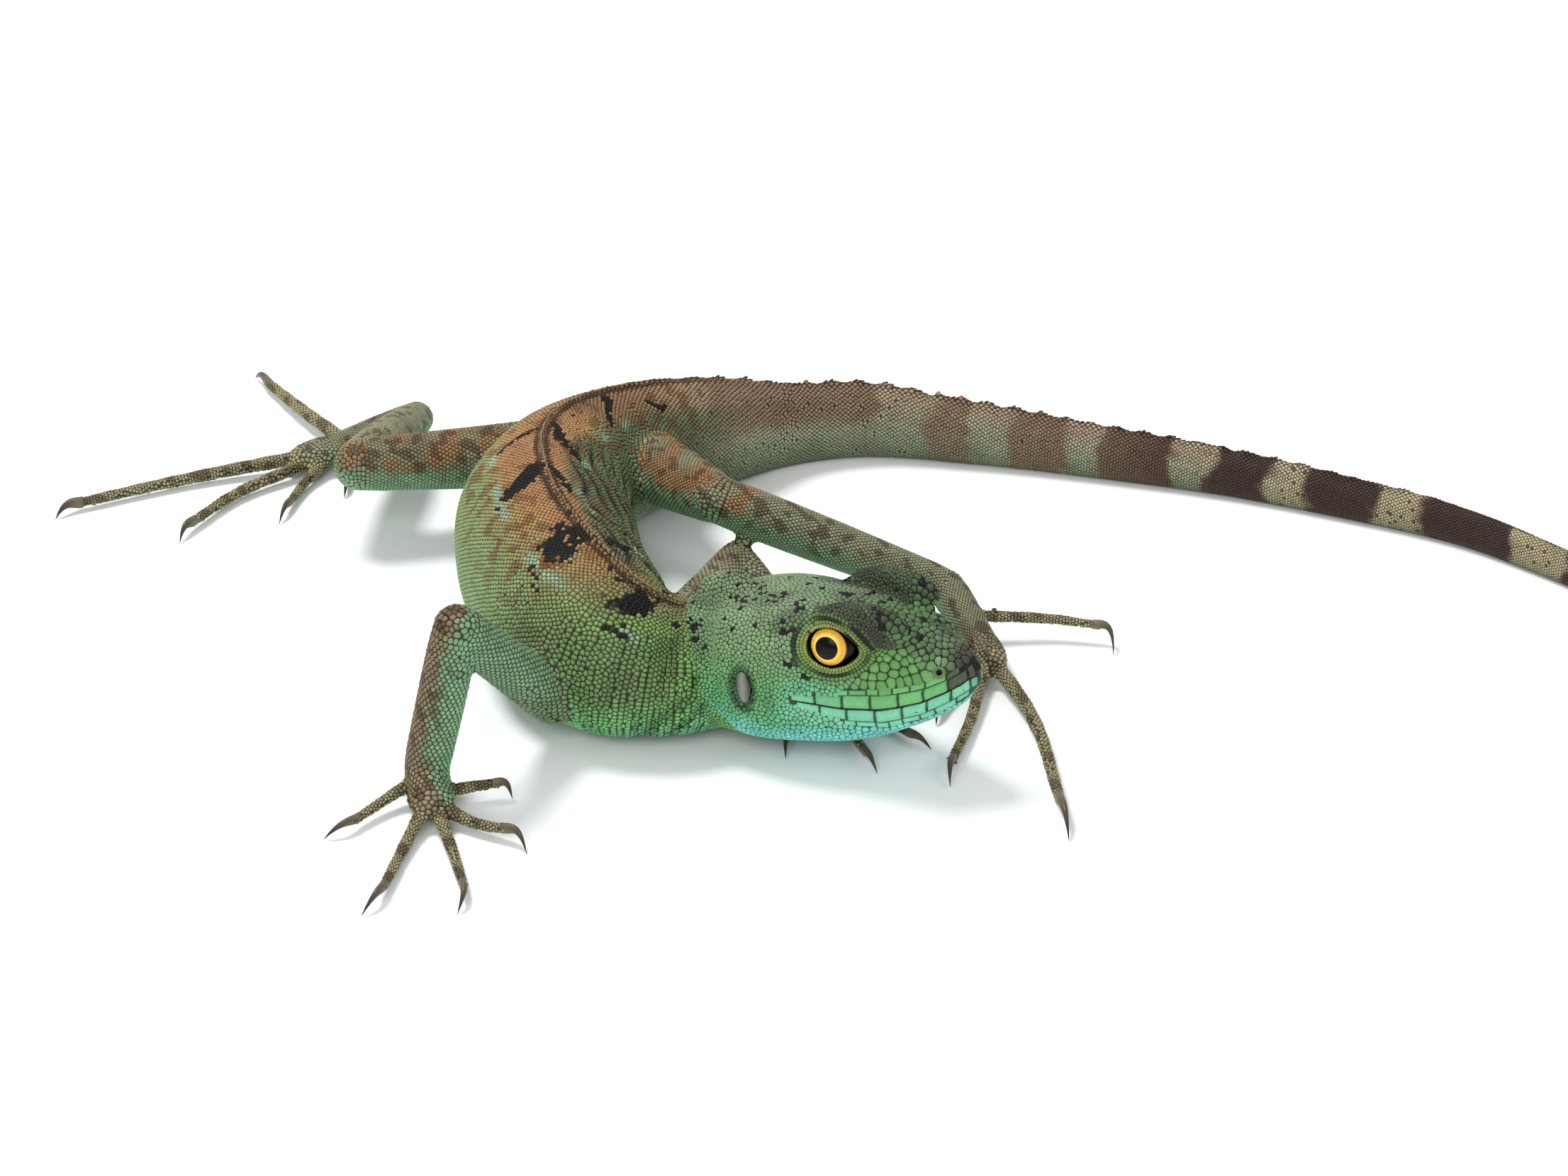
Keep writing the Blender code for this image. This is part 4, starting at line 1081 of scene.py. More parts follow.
coatSetup = {
    # pitch, the pitch on a thin part with what it gains with thickness, height, keel and sides of a cell
    "trunk": {"pitch": 0.62, "thin": (0.62, 0), "tall": 0.135, "keel": 0.5, "spokes": 8},
    "tail": {"pitch": 0.58, "thin": (0.37, 0.045), "tall": 0.11, "keel": 0.9, "spokes": 6},
    "limb": {"pitch": 0.8, "thin": (0.38, 0.1), "tall": 0.13, "keel": 0.8, "spokes": 8},
    "toe": {"pitch": 0.58, "thin": (0.36, 0.22), "tall": 0.12, "keel": 0.5, "spokes": 6},
    "head": {"pitch": 0.6, "tall": 0.1, "keel": 0.0, "spokes": 10},
}
# shares of the pitch; the scales of a ring stand a little apart and the rings close, so that the lie
# is oblique
latticeSetup = {
    "across": 1.07,
    "ahead": 0.76,
    "shake": 0.055,
    "leg": 0.74,  # the legs' pitch over the arms' one
    "room": 0.62,  # least distance between the roots of the rings
    "fill": 0.84,  # and of those that fill what the rings left bare
}
shaker = np.random.default_rng(seeds["shake"])


class RootBook:
    # the roots of the scales, with a grid over space that tells how near the next one is
    cell = 0.75

    def __init__(self):
        self.rows = []
        self.grid = {}

    def free(self, place, room):
        x, y, z = (math.floor(v / self.cell) for v in place)
        reach = range(-1, 2) if room <= self.cell else range(-2, 3)
        least = room * room
        for i in reach:
            for j in reach:
                for k in reach:
                    for other in self.grid.get((x + i, y + j, z + k), ()):
                        a, b, c = other[0] - place[0], other[1] - place[1], other[2] - place[2]
                        if a * a + b * b + c * c < least:
                            return False
        return True

    def add(self, place, normal, lie, size, kind, tall=None):
        place = tuple(place)
        values = coatSetup[kind]
        tall = values["tall"] * min(1, size / values["pitch"]) if tall is None else tall
        self.rows.append((place, tuple(normal), tuple(lie), size, kind, tall, values["keel"]))
        key = tuple(math.floor(v / self.cell) for v in place)
        self.grid.setdefault(key, []).append(place)


roots = RootBook()


def treeOf(obj):
    shape = bmesh.new()
    shape.from_mesh(obj.data)
    tree = BVHTree.FromBMesh(shape)
    shape.free()
    return tree


skinTree = treeOf(skin)
skinPoints = vertexRows(skin.data)
skinNormals = normalRows(skin.data)
corners = readRows(skin.data.loops, "vertex_index", 1, np.int32)[:, 0]
starts = readRows(skin.data.polygons, "loop_start", 1, np.int32)[:, 0]
faceNormals = skinNormals[corners[starts]]


def treeOver(points):
    tree = KDTree(len(points))
    for i, point in enumerate(points):
        tree.insert(point, i)
    tree.balance()
    return tree


def onSkin(place):
    hit = skinTree.find_nearest(Vector(place) * mm)
    return np.array(hit[0]) / mm, faceNormals[hit[2]]


def rayOnSkin(origin, way, reach):
    # from an origin in metres: where the ray meets the skin, the normal there and the distance
    spot, _, face, away = skinTree.ray_cast(origin, Vector(way), reach * mm)
    return None if spot is None else ([v / mm for v in spot], faceNormals[face], away / mm)


def castOut(centre, way, reach):
    found = rayOnSkin(Vector(centre) * mm, way, reach)
    return found and (np.array(found[0]), found[1])


def sectionTable(half, rise, drop):
    # one side of a section, from the back to the belly: length round it, and places across and up
    turn = np.linspace(0, math.pi, 61)
    c, s = np.sin(turn), np.cos(turn)
    power = 2 / np.where(s > 0, 1.9, 2.4)  # the belly is squarer than the back
    x = half * np.abs(c) ** power
    z = np.where(s > 0, rise, drop) * np.sign(s) * np.abs(s) ** power
    length = np.concatenate([[0], np.cumsum(np.hypot(np.diff(x), np.diff(z)))])
    return length, x, z


def pitchOf(kind, thick):
    least, gain = coatSetup[kind]["thin"]
    return np.minimum(coatSetup[kind]["pitch"], least + gain * thick)


def ringRoots(kind, centre, forward, across, up, section, pitch, odd):
    # one ring of roots round a line, even from the back down both sides
    length, x, z = sectionTable(*section)
    wide = pitch * latticeSetup["across"]
    steps = np.arange((0.5 if odd else 0.0) * wide, length[-1] - 0.3 * wide, wide)
    side, high = np.interp(steps, length, x)[:, None], np.interp(steps, length, z)[:, None]
    ways = np.concatenate([across * side + up * high, across * -side + up * high])
    if not odd:
        ways = np.delete(ways, len(steps), axis=0)
    shake = shaker.normal(0, latticeSetup["shake"] * pitch, (len(ways), 3))
    ways = ways + shake[:, :1] * across + shake[:, 1:2] * up
    reaches = np.linalg.norm(ways, axis=1)
    origins = (centre + shake[:, 2:] * forward) * mm
    for origin, way, reach in zip(origins, ways / reaches[:, None], reaches):
        found = rayOnSkin(Vector(origin), way, reach * 1.35 + 0.6)
        # not a fold that lies too near, nor a wall that the line only grazes
        if found is None or found[2] < 0.5 * reach or found[1] @ way < 0.25:
            continue
        spot, normal, _ = found
        if roots.free(spot, pitch * latticeSetup["room"]):
            lie = forward - normal * (forward @ normal)
            roots.add(spot, normal, lie / math.sqrt(lie @ lie + 1e-9), pitch, kind)


def spineRoots():
    at, row = 0.6, 0
    while at < spineAlong[-1] - 0.2:
        k = min(int(round(at / spineStep)), len(spineLine) - 1)
        line = spineLine[k]
        kind = "trunk" if at < tailStart else "tail"
        # smaller on the neck
        pitch = float(pitchOf(kind, (line[3] + line[5]) / 2)) * (0.84 + 0.16 * float(ease(at, 6, 16)))
        centre = line[:3] + spineForward[k] * (at - k * spineStep)
        ringRoots(kind, centre, spineForward[k], spineAcross[k], spineUp[k], line[[5, 3, 4]], pitch, row % 2)
        # the rings are as far apart as they should be on the outside of the bend
        ahead = min(k + 2, len(spineLine) - 1)
        bend = np.linalg.norm(spineForward[ahead] - spineForward[max(k - 2, 0)]) / (4 * spineStep)
        at += pitch * latticeSetup["ahead"] / (1 + 0.8 * bend * line[5])
        row += 1


def chainRoots(name, kind):
    rows = chains[name]
    length = lengths(rows)
    at, row = 0.4, 0
    while at < length[-1] + (0.5 if kind == "toe" else 0):
        here, ahead, back = (rowsAt(at + d, length, rows) for d in (0, 0.6, -0.6))
        way = unitRows(ahead[:3] - back[:3])
        across = unitRows(np.cross(way, (0.0, 0.0, 1.0) if abs(way[2]) < 0.9 else (0.3, -1.0, 0.0)))
        pitch = float(pitchOf(kind, here[3])) * (latticeSetup["leg"] if name.startswith("leg") else 1)
        ringRoots(kind, here[:3], way, across, np.cross(across, way), (here[3],) * 3, pitch, row % 2)
        at += pitch * latticeSetup["ahead"]
        row += 1


def fillRoots():
    # roots for what the rows left bare, taken from the skin's own points
    tree = treeOver([row[0] for row in roots.rows])
    owner, along, thick = partOwners[skinNear], partAlong[skinNear], partSizes[skinNear]
    kinds = np.where(along < tailStart, "trunk", "tail")
    kinds = np.where(owner > 1, np.where(owner < firstToe, "limb", "toe"), kinds)
    pitch = np.zeros(len(owner))
    for kind in ("trunk", "tail", "limb", "toe"):
        pitch = np.where(kinds == kind, pitchOf(kind, thick), pitch)
    legs = np.array([name.startswith("leg") for name in partNames])
    pitch = np.where(legs[owner], latticeSetup["leg"] * pitch, pitch)
    bare = [i for i in np.nonzero(owner > 0)[0] if tree.find(skinPoints[i])[2] > 0.8 * pitch[i]]
    ways = np.zeros((len(partOwners), 3))
    for number in range(len(partNames)):
        ways[partOwners == number] = unitRows(np.gradient(partPlaces[partOwners == number], axis=0))
    for i in np.random.default_rng(seeds["fill"]).permutation(bare):
        if roots.free(skinPoints[i], pitch[i] * latticeSetup["fill"]):
            lie = flatWay(ways[skinNear[i]], skinNormals[i])
            roots.add(skinPoints[i], skinNormals[i], lie, float(pitch[i]), str(kinds[i]))


# Head roots: rings of small scales round each eye, then cells that are evened out over the rest

lipSetup = {
    "bend": 3.6,  # length from the middle of the snout to its side
    "corner": 21.2,
    # length round the lip at which one plate ends and the next begins
    "upper": [0, 1.5, 3.4, 6.1, 8.9, 12.0, 15.1, 18.2, 21.0],
    "lower": [0, 1.3, 3.2, 5.8, 8.6, 11.6, 14.7, 17.7, 20.4],
    "upperHigh": [(0, 1.2), (3, 1.5), (8, 1.8), (12, 1.95), (15, 1.75), (18, 1.3), (21, 0.7)],
    "lowerHigh": [(0, 1.1), (3, 1.35), (8, 1.65), (12, 1.75), (15, 1.5), (18, 1.05), (21, 0.6)],
    # the small plates beyond the large ones: height, where the row ends and starts, widths, shares
    "secondHigh": 0.95,
    "secondEnd": 15.4,
    "secondStart": {"upper": 2.2, "lower": 1.4},
    "secondWide": (1.35, 2.3, 1.7, 2.0, 1.5),
    "secondTall": (0.8, 1.0, 0.9),
    "mouthGap": 0.06,
    "gather": 0.36,
    "grid": (6, 5),  # points along a plate and up it
    "gap": 0.028,
    "tall": 0.11,
    "shoulder": 0.88,
    "sink": 0.03,
}


def lipPlace(local):
    # length round the lip from the middle of the snout, and height over the line of the mouth
    behind = -local[:, 0]
    turn = np.arctan2(np.abs(local[:, 1]), np.maximum(3 - behind, 1e-3))
    length = np.where(behind < 3, turn / (math.pi / 2) * lipSetup["bend"], behind - 3 + lipSetup["bend"])
    return length, local[:, 2] - mouthHeight(behind)


def lipSpot(sign, t, lift):
    # the skin at a length round the lip and a height over the line of the mouth
    bend = lipSetup["bend"]
    if t < bend:
        turn = t / bend * math.pi / 2
        behind, origin = 3 - 3 * math.cos(turn), -3.0
        way = np.array((math.cos(turn), sign * math.sin(turn), 0))
    else:
        behind = 3 + t - bend
        origin, way = -behind, np.array((0.0, sign, 0))
    return castOut(headPoint(origin, 0, mouthHeight(behind) + lift), headAxes @ way, 14)


def lidRoots(sign):
    centre, out, ahead, up = eyeFrame(sign)
    for number, (gap, size) in enumerate(lidSetup["rows"]):
        length, height = lidSetup["length"] + gap, lidSetup["height"] + gap
        count = round(math.pi * (length + height) / size)
        for k in range(count):
            turn = 2 * math.pi * (k + 0.5 * (number % 2)) / count
            u = length * math.cos(turn) * (1 + 0.12 * max(0, math.cos(turn)) ** 6)
            v = height * math.sin(turn) - 0.4 * max(0, math.cos(turn)) ** 3
            found = castOut(centre + ahead * u + up * v + out * 8, -out, 8)
            if found is None:
                continue
            spot, normal = found
            if (spot - centre) @ out > 1.0 and roots.free(spot, size * 0.62):
                roots.add(spot, normal, flatWay(ahead * u + up * v, normal), size, "head", lidSetup["tall"])


# size of the head's scales at a distance behind the tip, on the crown, the side and the cheek
headPitches = {
    "crown": [(2, 0.8), (8, 0.92), (12, 0.62), (22, 0.5), (30, 0.48)],
    "side": [(2, 0.9), (5, 1.2), (10, 1.1), (14, 0.52), (22, 0.44), (30, 0.46)],
    "cheek": [(2, 0.7), (8, 0.72), (16, 0.58), (24, 0.54), (30, 0.5)],
    "dome": 0.46,
    "throat": 0.5,
    "brow": 0.4,
    "room": 0.78,  # least distance between two roots, over the pitch
    "samples": 26,  # random points on each square millimetre
    "rounds": 3,
}


def headPitch(local):
    behind, wide = -local[:, 0], np.abs(local[:, 1])
    high, under = headHeights(local)
    crown, side, cheek = (onTable(behind, headPitches[key]) for key in ("crown", "side", "cheek"))
    crown = np.where((behind > 9.5) & (behind < 19.5) & (wide > 2.6), headPitches["dome"], crown)
    cheek = cheek + (headPitches["throat"] - cheek) * ease(under, 0.6, 0.95)
    return np.where(high > 0.62, crown, np.where(high > 0, side, cheek))


def samplesOnHead(density):
    # random points over the head's skin, with smooth normals
    chosen = np.nonzero(partOwners[skinNear[corners[starts]]] == 0)[0]
    quad = np.array([corners[starts[i] : starts[i] + 3] for i in chosen])
    a, b, c = (skinPoints[quad[:, n]] for n in range(3))
    area = np.linalg.norm(np.cross(b - a, c - a), axis=1)  # the whole quad
    rng = np.random.default_rng(seeds["head"])
    pick = rng.choice(len(chosen), int(area.sum() * density), p=area / area.sum())
    u, v = rng.random((2, len(pick), 1))
    spots = a[pick] + (b - a)[pick] * u + (c - b)[pick] * v
    normals = unitRows(sum(skinNormals[quad[pick, n]] for n in range(3)))
    return spots, normals


def closestRoot(tree, sizes, point):
    # the root that lies nearest to a point, by distance over size
    return min((away / sizes[i], i) for _, i, away in tree.find_n(point, 3))[1]


def headRoots():
    spots, normals = samplesOnHead(headPitches["samples"])
    local = intoHead(spots)
    t, lift = lipPlace(local)
    end = lipSetup["secondEnd"]
    second = (lipSetup["secondHigh"] + 0.1) * fade(t, end - 0.8, end + 0.4)
    upper, lower = (onTable(t, lipSetup[key]) + second for key in ("upperHigh", "lowerHigh"))
    lips = (t < lipSetup["corner"]) & (lift < upper) & (lift > -lower) & (normals @ headAxes[:, 2] > -0.86)
    # none on the ear drums and nostrils
    drum = np.linalg.norm((folded(local) - np.array(headSetup["drum"])) / (1.35, 1.25, 2.6), axis=1) < 1.0
    nose = np.linalg.norm(folded(local) - np.array(headSetup["nostril"]), axis=1) < 1.05
    keep = ~lips & ~drum & ~nose & (lidGap(spots) > 1.75)
    spots, normals, local = spots[keep], normals[keep], local[keep]
    pitches = np.where(browShare(spots) > 0.5, headPitches["brow"], headPitch(local))
    first = len(roots.rows)
    for place, normal, pitch in zip(spots.tolist(), normals, pitches.tolist()):
        if roots.free(place, pitch * headPitches["room"]):
            roots.add(place, normal, (1, 0, 0), pitch, "head")
    # even out the cells: each root moves to the middle of what lies nearest to it
    places = np.array([row[0] for row in roots.rows])
    sizes = [row[3] for row in roots.rows]
    for _ in range(headPitches["rounds"]):
        tree = treeOver(places)
        nearest = np.array([closestRoot(tree, sizes, point) for point in spots])
        count = np.bincount(nearest, minlength=len(places))
        middle = np.stack([np.bincount(nearest, spots[:, c], len(places)) for c in range(3)], axis=1)
        move = (np.arange(len(places)) >= first) & (count > 2)
        places[move] = middle[move] / count[move, None]
    back = headAxes @ np.array((-1.0, 0, 0))
    values = coatSetup["head"]
    for i in range(first, len(places)):
        spot, normal = onSkin(places[i])
        tall = values["tall"] * min(1.4, sizes[i] / values["pitch"])
        lie = tuple(flatWay(back, normal))
        roots.rows[i] = (tuple(spot), tuple(normal), lie, sizes[i], "head", tall, values["keel"])


for sign in (-1, 1):
    lidRoots(sign)
headRoots()
print("head roots:", len(roots.rows))
spineRoots()
print("spine roots:", len(roots.rows))
for name in chains:
    chainRoots(name, "limb" if name in limbLines else "toe")
print("limb roots:", len(roots.rows))
fillRoots()
print("all roots:", len(roots.rows))


# Scales: a cell round each root, bounded by its neighbours

scaleSetup = {
    "neighbours": 12,
    # a neighbour counts if it faces the same way and isn't too steep a step up or down
    "facing": 0.15,
    "steep": 1.1,
    "aside": 0.12,  # least cosine between a direction and the neighbour that bounds it
    "beyond": 99.0,
    "reach": 0.95,  # most, over the pitch
    "sink": 0.035,  # of the rim, into the skin
    # shares of the height: the shoulders of a flat scale, the keel's swell over them, its rise to the back
    "flat": 0.8,
    "spine": 0.34,
    "rise": 0.22,
    "shoulder": 0.92,  # how light the groove's shade is at the shoulders
    "lowest": 0.02,
}
places, rootNormals, lies, sizes, rootKinds, talls, keels = map(np.array, zip(*roots.rows))
rootNear = nearestPart(places)
rootHide = hideColour(places, rootNormals, rootNear)
rootTree = treeOver(places)
around = np.array([[f[1] for f in rootTree.find_n(place, scaleSetup["neighbours"])] for place in places])


def cellSpokes(some, spokes):
    # how far a cell reaches in each direction in its tangent plane, and how far the skin falls there
    lie, normal = lies[some], rootNormals[some]
    side = np.cross(normal, lie)
    gap = places[around[some]] - places[some][:, None]
    a, b = (gap * lie[:, None]).sum(2), (gap * side[:, None]).sum(2)
    fall = (gap * normal[:, None]).sum(2)
    flat = np.maximum(np.hypot(a, b), 1e-6)
    facing = (rootNormals[around[some]] * normal[:, None]).sum(2)
    share = sizes[some][:, None] / (sizes[some][:, None] + sizes[around[some]])
    usable = (facing > scaleSetup["facing"]) & (np.abs(fall) < scaleSetup["steep"] * flat)
    usable = (usable & (around[some] != some[:, None]))[:, :, None]
    turn = np.arange(spokes) * 2 * math.pi / spokes
    way = (a / flat)[:, :, None] * np.cos(turn) + (b / flat)[:, :, None] * np.sin(turn)
    least = scaleSetup["aside"]
    half = (share * flat)[:, :, None] / np.maximum(way, least)
    reach = np.where(usable & (way > least), half, scaleSetup["beyond"])
    limit = reach.argmin(axis=1)
    reach = np.minimum(reach.min(axis=1), sizes[some][:, None] * scaleSetup["reach"])
    bend = np.take_along_axis(np.where(usable[:, :, 0], fall / flat**2, 0), limit, axis=1)
    return reach, np.clip(bend * reach**2, -0.5 * reach, 0.5 * reach), turn, lie, side, normal


# the square of the unwrap: left edge, width, middle and half height of each part's strip
bakeSetup = {
    "head": (0.01, 0.22, 0.16, 0.15),
    "trunk": (0.25, 0.74, 0.16, 0.15),
    "tail": (0.01, 0.98, 0.42, 0.09),
    "limb": (0.01, 0.22, 0.62, 0.08, 0.24),  # and the step to the next limb
    "toe": (0.01, 0.088, 0.78, 0.045, 0.098, 0.11),  # and the steps to the next toe and row
    "headLong": 36,
    "disc": 0.0015,
    "margin": 0.003,
}


def bakeSpot(place, near):
    # a place on an unwrap of the body: each part has its own strip of the square
    owner, along = partOwners[near], partAlong[near]
    uv = np.zeros((len(place), 2))

    def strip(kind, pick, share, turn, stepU=0.0, stepV=0.0):
        left, wide, middle, half = bakeSetup[kind][:4]
        uv[pick, 0] = left + stepU + wide * share[pick]
        uv[pick, 1] = middle + stepV + half / math.pi * turn[pick]

    local = intoHead(place)
    share = np.clip(-local[:, 0] / bakeSetup["headLong"], 0, 1)
    strip("head", owner == 0, share, np.arctan2(local[:, 1], local[:, 2] + 3))
    k = np.clip((along / spineStep).astype(int), 0, len(spineLine) - 1)
    k[owner != 1] = 0
    out = place - spineLine[k, :3]
    turn = np.arctan2((out * spineAcross[k]).sum(1), (out * spineUp[k]).sum(1))
    strip("trunk", (owner == 1) & (along < tailStart), along / tailStart, turn)
    share = (along - tailStart) / (spineAlong[-1] - tailStart)
    strip("tail", (owner == 1) & (along >= tailStart), share, turn)
    gap = place - partPlaces[near]
    turn = np.arctan2(gap @ np.array((0.6, 0.8, 0.0)), gap[:, 2])
    for number, name in enumerate(partNames[2:], 2):
        share = np.clip(along / lengths(chains[name])[-1], 0, 1)
        if name in limbLines:
            strip("limb", owner == number, share, turn, bakeSetup["limb"][4] * (number - 2))
        else:
            line, column = divmod(number - firstToe, 10)
            stepU, stepV = bakeSetup["toe"][4:]
            strip("toe", owner == number, share, turn, stepU * column, stepV * line)
    return np.clip(uv, bakeSetup["margin"], 1 - bakeSetup["margin"])


def bakeDiscs(spots, shares, spokes):
    # a small disc of the map round each spot: a ring for each share of its radius, and its middle
    turn = np.append(np.tile(np.arange(spokes) * 2 * math.pi / spokes, len(shares)), 0)
    far = np.append(np.repeat(shares, spokes), 0) * bakeSetup["disc"]
    disc = np.stack([np.cos(turn) * far, np.sin(turn) * far], axis=1)
    return (spots[:, None] + disc).reshape(-1, 2)


def domeFaces(count, rings, spokes):
    # the faces of many small domes: quads between their rings, and a fan round each tip
    base = (np.arange(count) * (rings * spokes + 1))[:, None]
    k, after = np.arange(spokes), (np.arange(spokes) + 1) % spokes
    quads = []
    for low in (base + spokes * ring for ring in range(rings - 1)):
        high = low + spokes
        quads.append(np.stack([low + k, low + after, high + after, high + k], axis=2).reshape(-1, 4))
    last = base + spokes * (rings - 1)
    tips = np.broadcast_to(last + spokes, (count, spokes))
    return [np.concatenate(quads), np.stack([last + k, last + after, tips], axis=2).reshape(-1, 3)]


def meshFrom(name, points, faceRows, paint, tint, relief, uv=None):
    # one mesh from arrays: faceRows is a list of arrays with a row of corners for each face
    mesh = bpy.data.meshes.new(name)
    mesh.vertices.add(len(points))
    setVertices(mesh, points)
    loops = np.concatenate([rows.ravel() for rows in faceRows]).astype(np.int32)
    totals = np.concatenate([np.full(len(rows), rows.shape[1]) for rows in faceRows])
    mesh.loops.add(len(loops))
    mesh.loops.foreach_set("vertex_index", loops)
    mesh.polygons.add(len(totals))
    mesh.polygons.foreach_set("loop_start", np.concatenate([[0], np.cumsum(totals)[:-1]]).astype(np.int32))
    mesh.update(calc_edges=True)
    mesh.validate()
    mesh.polygons.foreach_set("use_smooth", np.ones(len(mesh.polygons), bool))
    setHide(mesh, tint, relief)
    if uv is not None:
        layer = mesh.uv_layers.new(name="OFBake")
        layer.data.foreach_set("uv", uv[loops].astype(np.float32).ravel())
    mesh.materials.append(paint)
    obj = bpy.data.objects.new(name, mesh)
    bpy.context.scene.collection.objects.link(obj)
    return obj


def makeScales(name, some, spokes, paint, shrink=0.98, inner=0.72):
    # each scale is a rim in the skin, a ring of shoulders and a tip; keeled ones rise to the back
    reach, fall, turn, lie, side, normal = cellSpokes(some, spokes)
    place, normal = places[some][:, None], normal[:, None]
    tall, keel, size = (values[some][:, None] for values in (talls, keels, sizes))
    ways = lie[:, None] * np.cos(turn)[None, :, None] + side[:, None] * np.sin(turn)[None, :, None]
    edge = fall - scaleSetup["sink"] + tall * keel * 0.5 * np.maximum(0, np.cos(turn))
    rim = place + ways * (reach * shrink)[:, :, None] + normal * edge[:, :, None]
    profile = (1 - 0.4 * keel) * scaleSetup["flat"] + keel * scaleSetup["spine"] * np.abs(np.cos(turn)) ** 4
    profile = profile + keel * scaleSetup["rise"] * np.cos(turn)
    lift = fall * inner**2 + tall * profile
    middle = place + ways * (reach * shrink * inner)[:, :, None] + normal * lift[:, :, None]
    apex = place + (lie * (size * 0.12 * keel) + normal[:, 0] * tall)[:, None]
    points = np.concatenate([rim, middle, apex], axis=1)
    points[:, :, 2] = np.maximum(points[:, :, 2], scaleSetup["lowest"])
    # relief 0 at the rim: the painted shade of the grooves darkens the edge of each scale
    relief = np.tile(np.repeat((0.0, scaleSetup["shoulder"], 1.0), (spokes, spokes, 1)), len(some))
    tint = np.repeat(rootHide[some], 2 * spokes + 1, axis=0)
    uv = bakeDiscs(bakeSpot(places[some], rootNear[some]), (1.0, 0.6), spokes)
    return meshFrom(name, points.reshape(-1, 3), domeFaces(len(some), 2, spokes), paint, tint, relief, uv)


dressPieces = []
pieceLimit = 198000  # triangles in one piece of the coat


def scaleCoat(name, kind, paint, slotName, **shape):
    some = np.nonzero(rootKinds == kind)[0]
    spokes = coatSetup[kind]["spokes"]
    parts = math.ceil(len(some) * 3 * spokes / pieceLimit)
    for number, share in enumerate(np.array_split(some, parts), 1):
        piece = makeScales(name + (str(number) if parts > 1 else ""), share, spokes, paint, **shape)
        dressPieces.append((piece, slotName))
    print(name, len(some))


scaleCoat("headScales", "head", headPaint, "head", shrink=0.985, inner=0.84)
scaleCoat("trunkScales", "trunk", scalePaint, "torso", shrink=0.965, inner=0.68)
scaleCoat("tailScales", "tail", scalePaint, "tail")
scaleCoat("limbScales", "limb", scalePaint, "limb")
scaleCoat("toeScales", "toe", scalePaint, "limb")


# Lip plates: a row of large plates on each side of the mouth, and a row of small ones beyond

def spreadOut(share):
    # grid lines gather at a plate's edges
    x = 2 * share - 1
    return 0.5 + 0.5 * math.copysign(abs(x) ** lipSetup["gather"], x)


def platePatch(sign, ends, lows, highs):
    # the points of one plate over the skin, domed at its edges; lows and highs are heights at each end
    across, tall = lipSetup["grid"]
    gap = lipSetup["gap"]
    rows = []
    for j in range(tall):
        for i in range(across):
            a, b = i / (across - 1), j / (tall - 1)
            low, high = lows[0] + (lows[1] - lows[0]) * a, highs[0] + (highs[1] - highs[0]) * a
            t = ends[0] + gap + (ends[1] - ends[0] - 2 * gap) * spreadOut(a)
            away = low + (high - low) * spreadOut(b)
            found = lipSpot(sign, t, away) if t >= 0 else lipSpot(-sign, -t, away)
            if found is None:
                return []
            spot, normal = found
            rim = i in (0, across - 1) or j in (0, tall - 1)
            near = i in (1, across - 2) or j in (1, tall - 2)
            lift = -lipSetup["sink"] if rim else lipSetup["tall"] * (lipSetup["shoulder"] if near else 1.0)
            # the rim takes relief 0, so the painted shade of the grooves darkens the gaps between plates
            rows.append((*(spot + normal * lift), *normal, 0.0 if rim else 0.95 if near else 1.0))
    return rows


def lipPlates():
    across, tall = lipSetup["grid"]
    each = across * tall
    rows = []
    for kind, lift in (("upper", 1), ("lower", -1)):
        for sign in (-1, 1):
            base = lift * lipSetup["mouthGap"]
            for t0, t1 in zip(lipSetup[kind][:-1], lipSetup[kind][1:]):
                if t0 == 0:
                    if sign < 0:
                        continue
                    t0 = -t1  # the plate in the middle of the snout
                highs = [lift * onTable(abs(t), lipSetup[kind + "High"]) for t in (t0, t1)]
                rows += platePatch(sign, (t0, t1), (base, base), highs)
            t, step = lipSetup["secondStart"][kind], 0
            while t < lipSetup["secondEnd"] - 0.6:
                less = ease(t, 10, 15)
                width = lipSetup["secondWide"][step % 5] * (1 - 0.25 * less)
                second = lipSetup["secondHigh"] * (lipSetup["secondTall"][step % 3] - 0.3 * less)
                lows = [onTable(v, lipSetup[kind + "High"]) for v in (t, t + width)]
                highs = [lift * (low + second) for low in lows]
                rows += platePatch(sign, (t, t + width), [lift * low for low in lows], highs)
                t += width
                step += 1
    rows = np.array(rows)
    count = len(rows) // each
    grid = np.arange(each).reshape(tall, across)
    quad = np.stack([grid[:-1, :-1], grid[:-1, 1:], grid[1:, 1:], grid[1:, :-1]], axis=2).reshape(-1, 4)
    points = rows[:, :3]
    faces = []
    for start in range(0, len(rows), each):
        a, b, _, d = points[start + quad[0]]
        outward = np.cross(b - a, d - a) @ rows[start + across + 1, 3:6] > 0
        faces.append((quad if outward else quad[:, ::-1]) + start)
    middle, normals = rows.reshape(-1, each, 7)[:, :, :6].mean(axis=1).reshape(-1, 2, 3).swapaxes(0, 1)
    near = nearestPart(middle)
    tint = np.repeat(hideColour(middle, unitRows(normals), near, seed=seeds["lips"]), each, axis=0)
    square = np.meshgrid(np.linspace(-1, 1, across), np.linspace(-1, 1, tall))
    offset = np.stack(square, axis=2).reshape(-1, 2) * bakeSetup["disc"]
    uv = (bakeSpot(middle, near)[:, None] + offset).reshape(-1, 2)
    piece = meshFrom("lipPlates", points, [np.concatenate(faces)], lipPaint, tint, rows[:, 6], uv)
    dressPieces.append((piece, "head"))
    print("lip plates", count)


lipPlates()


# Crest: a thin row of upright scales along the ridge, low and dark on the tail

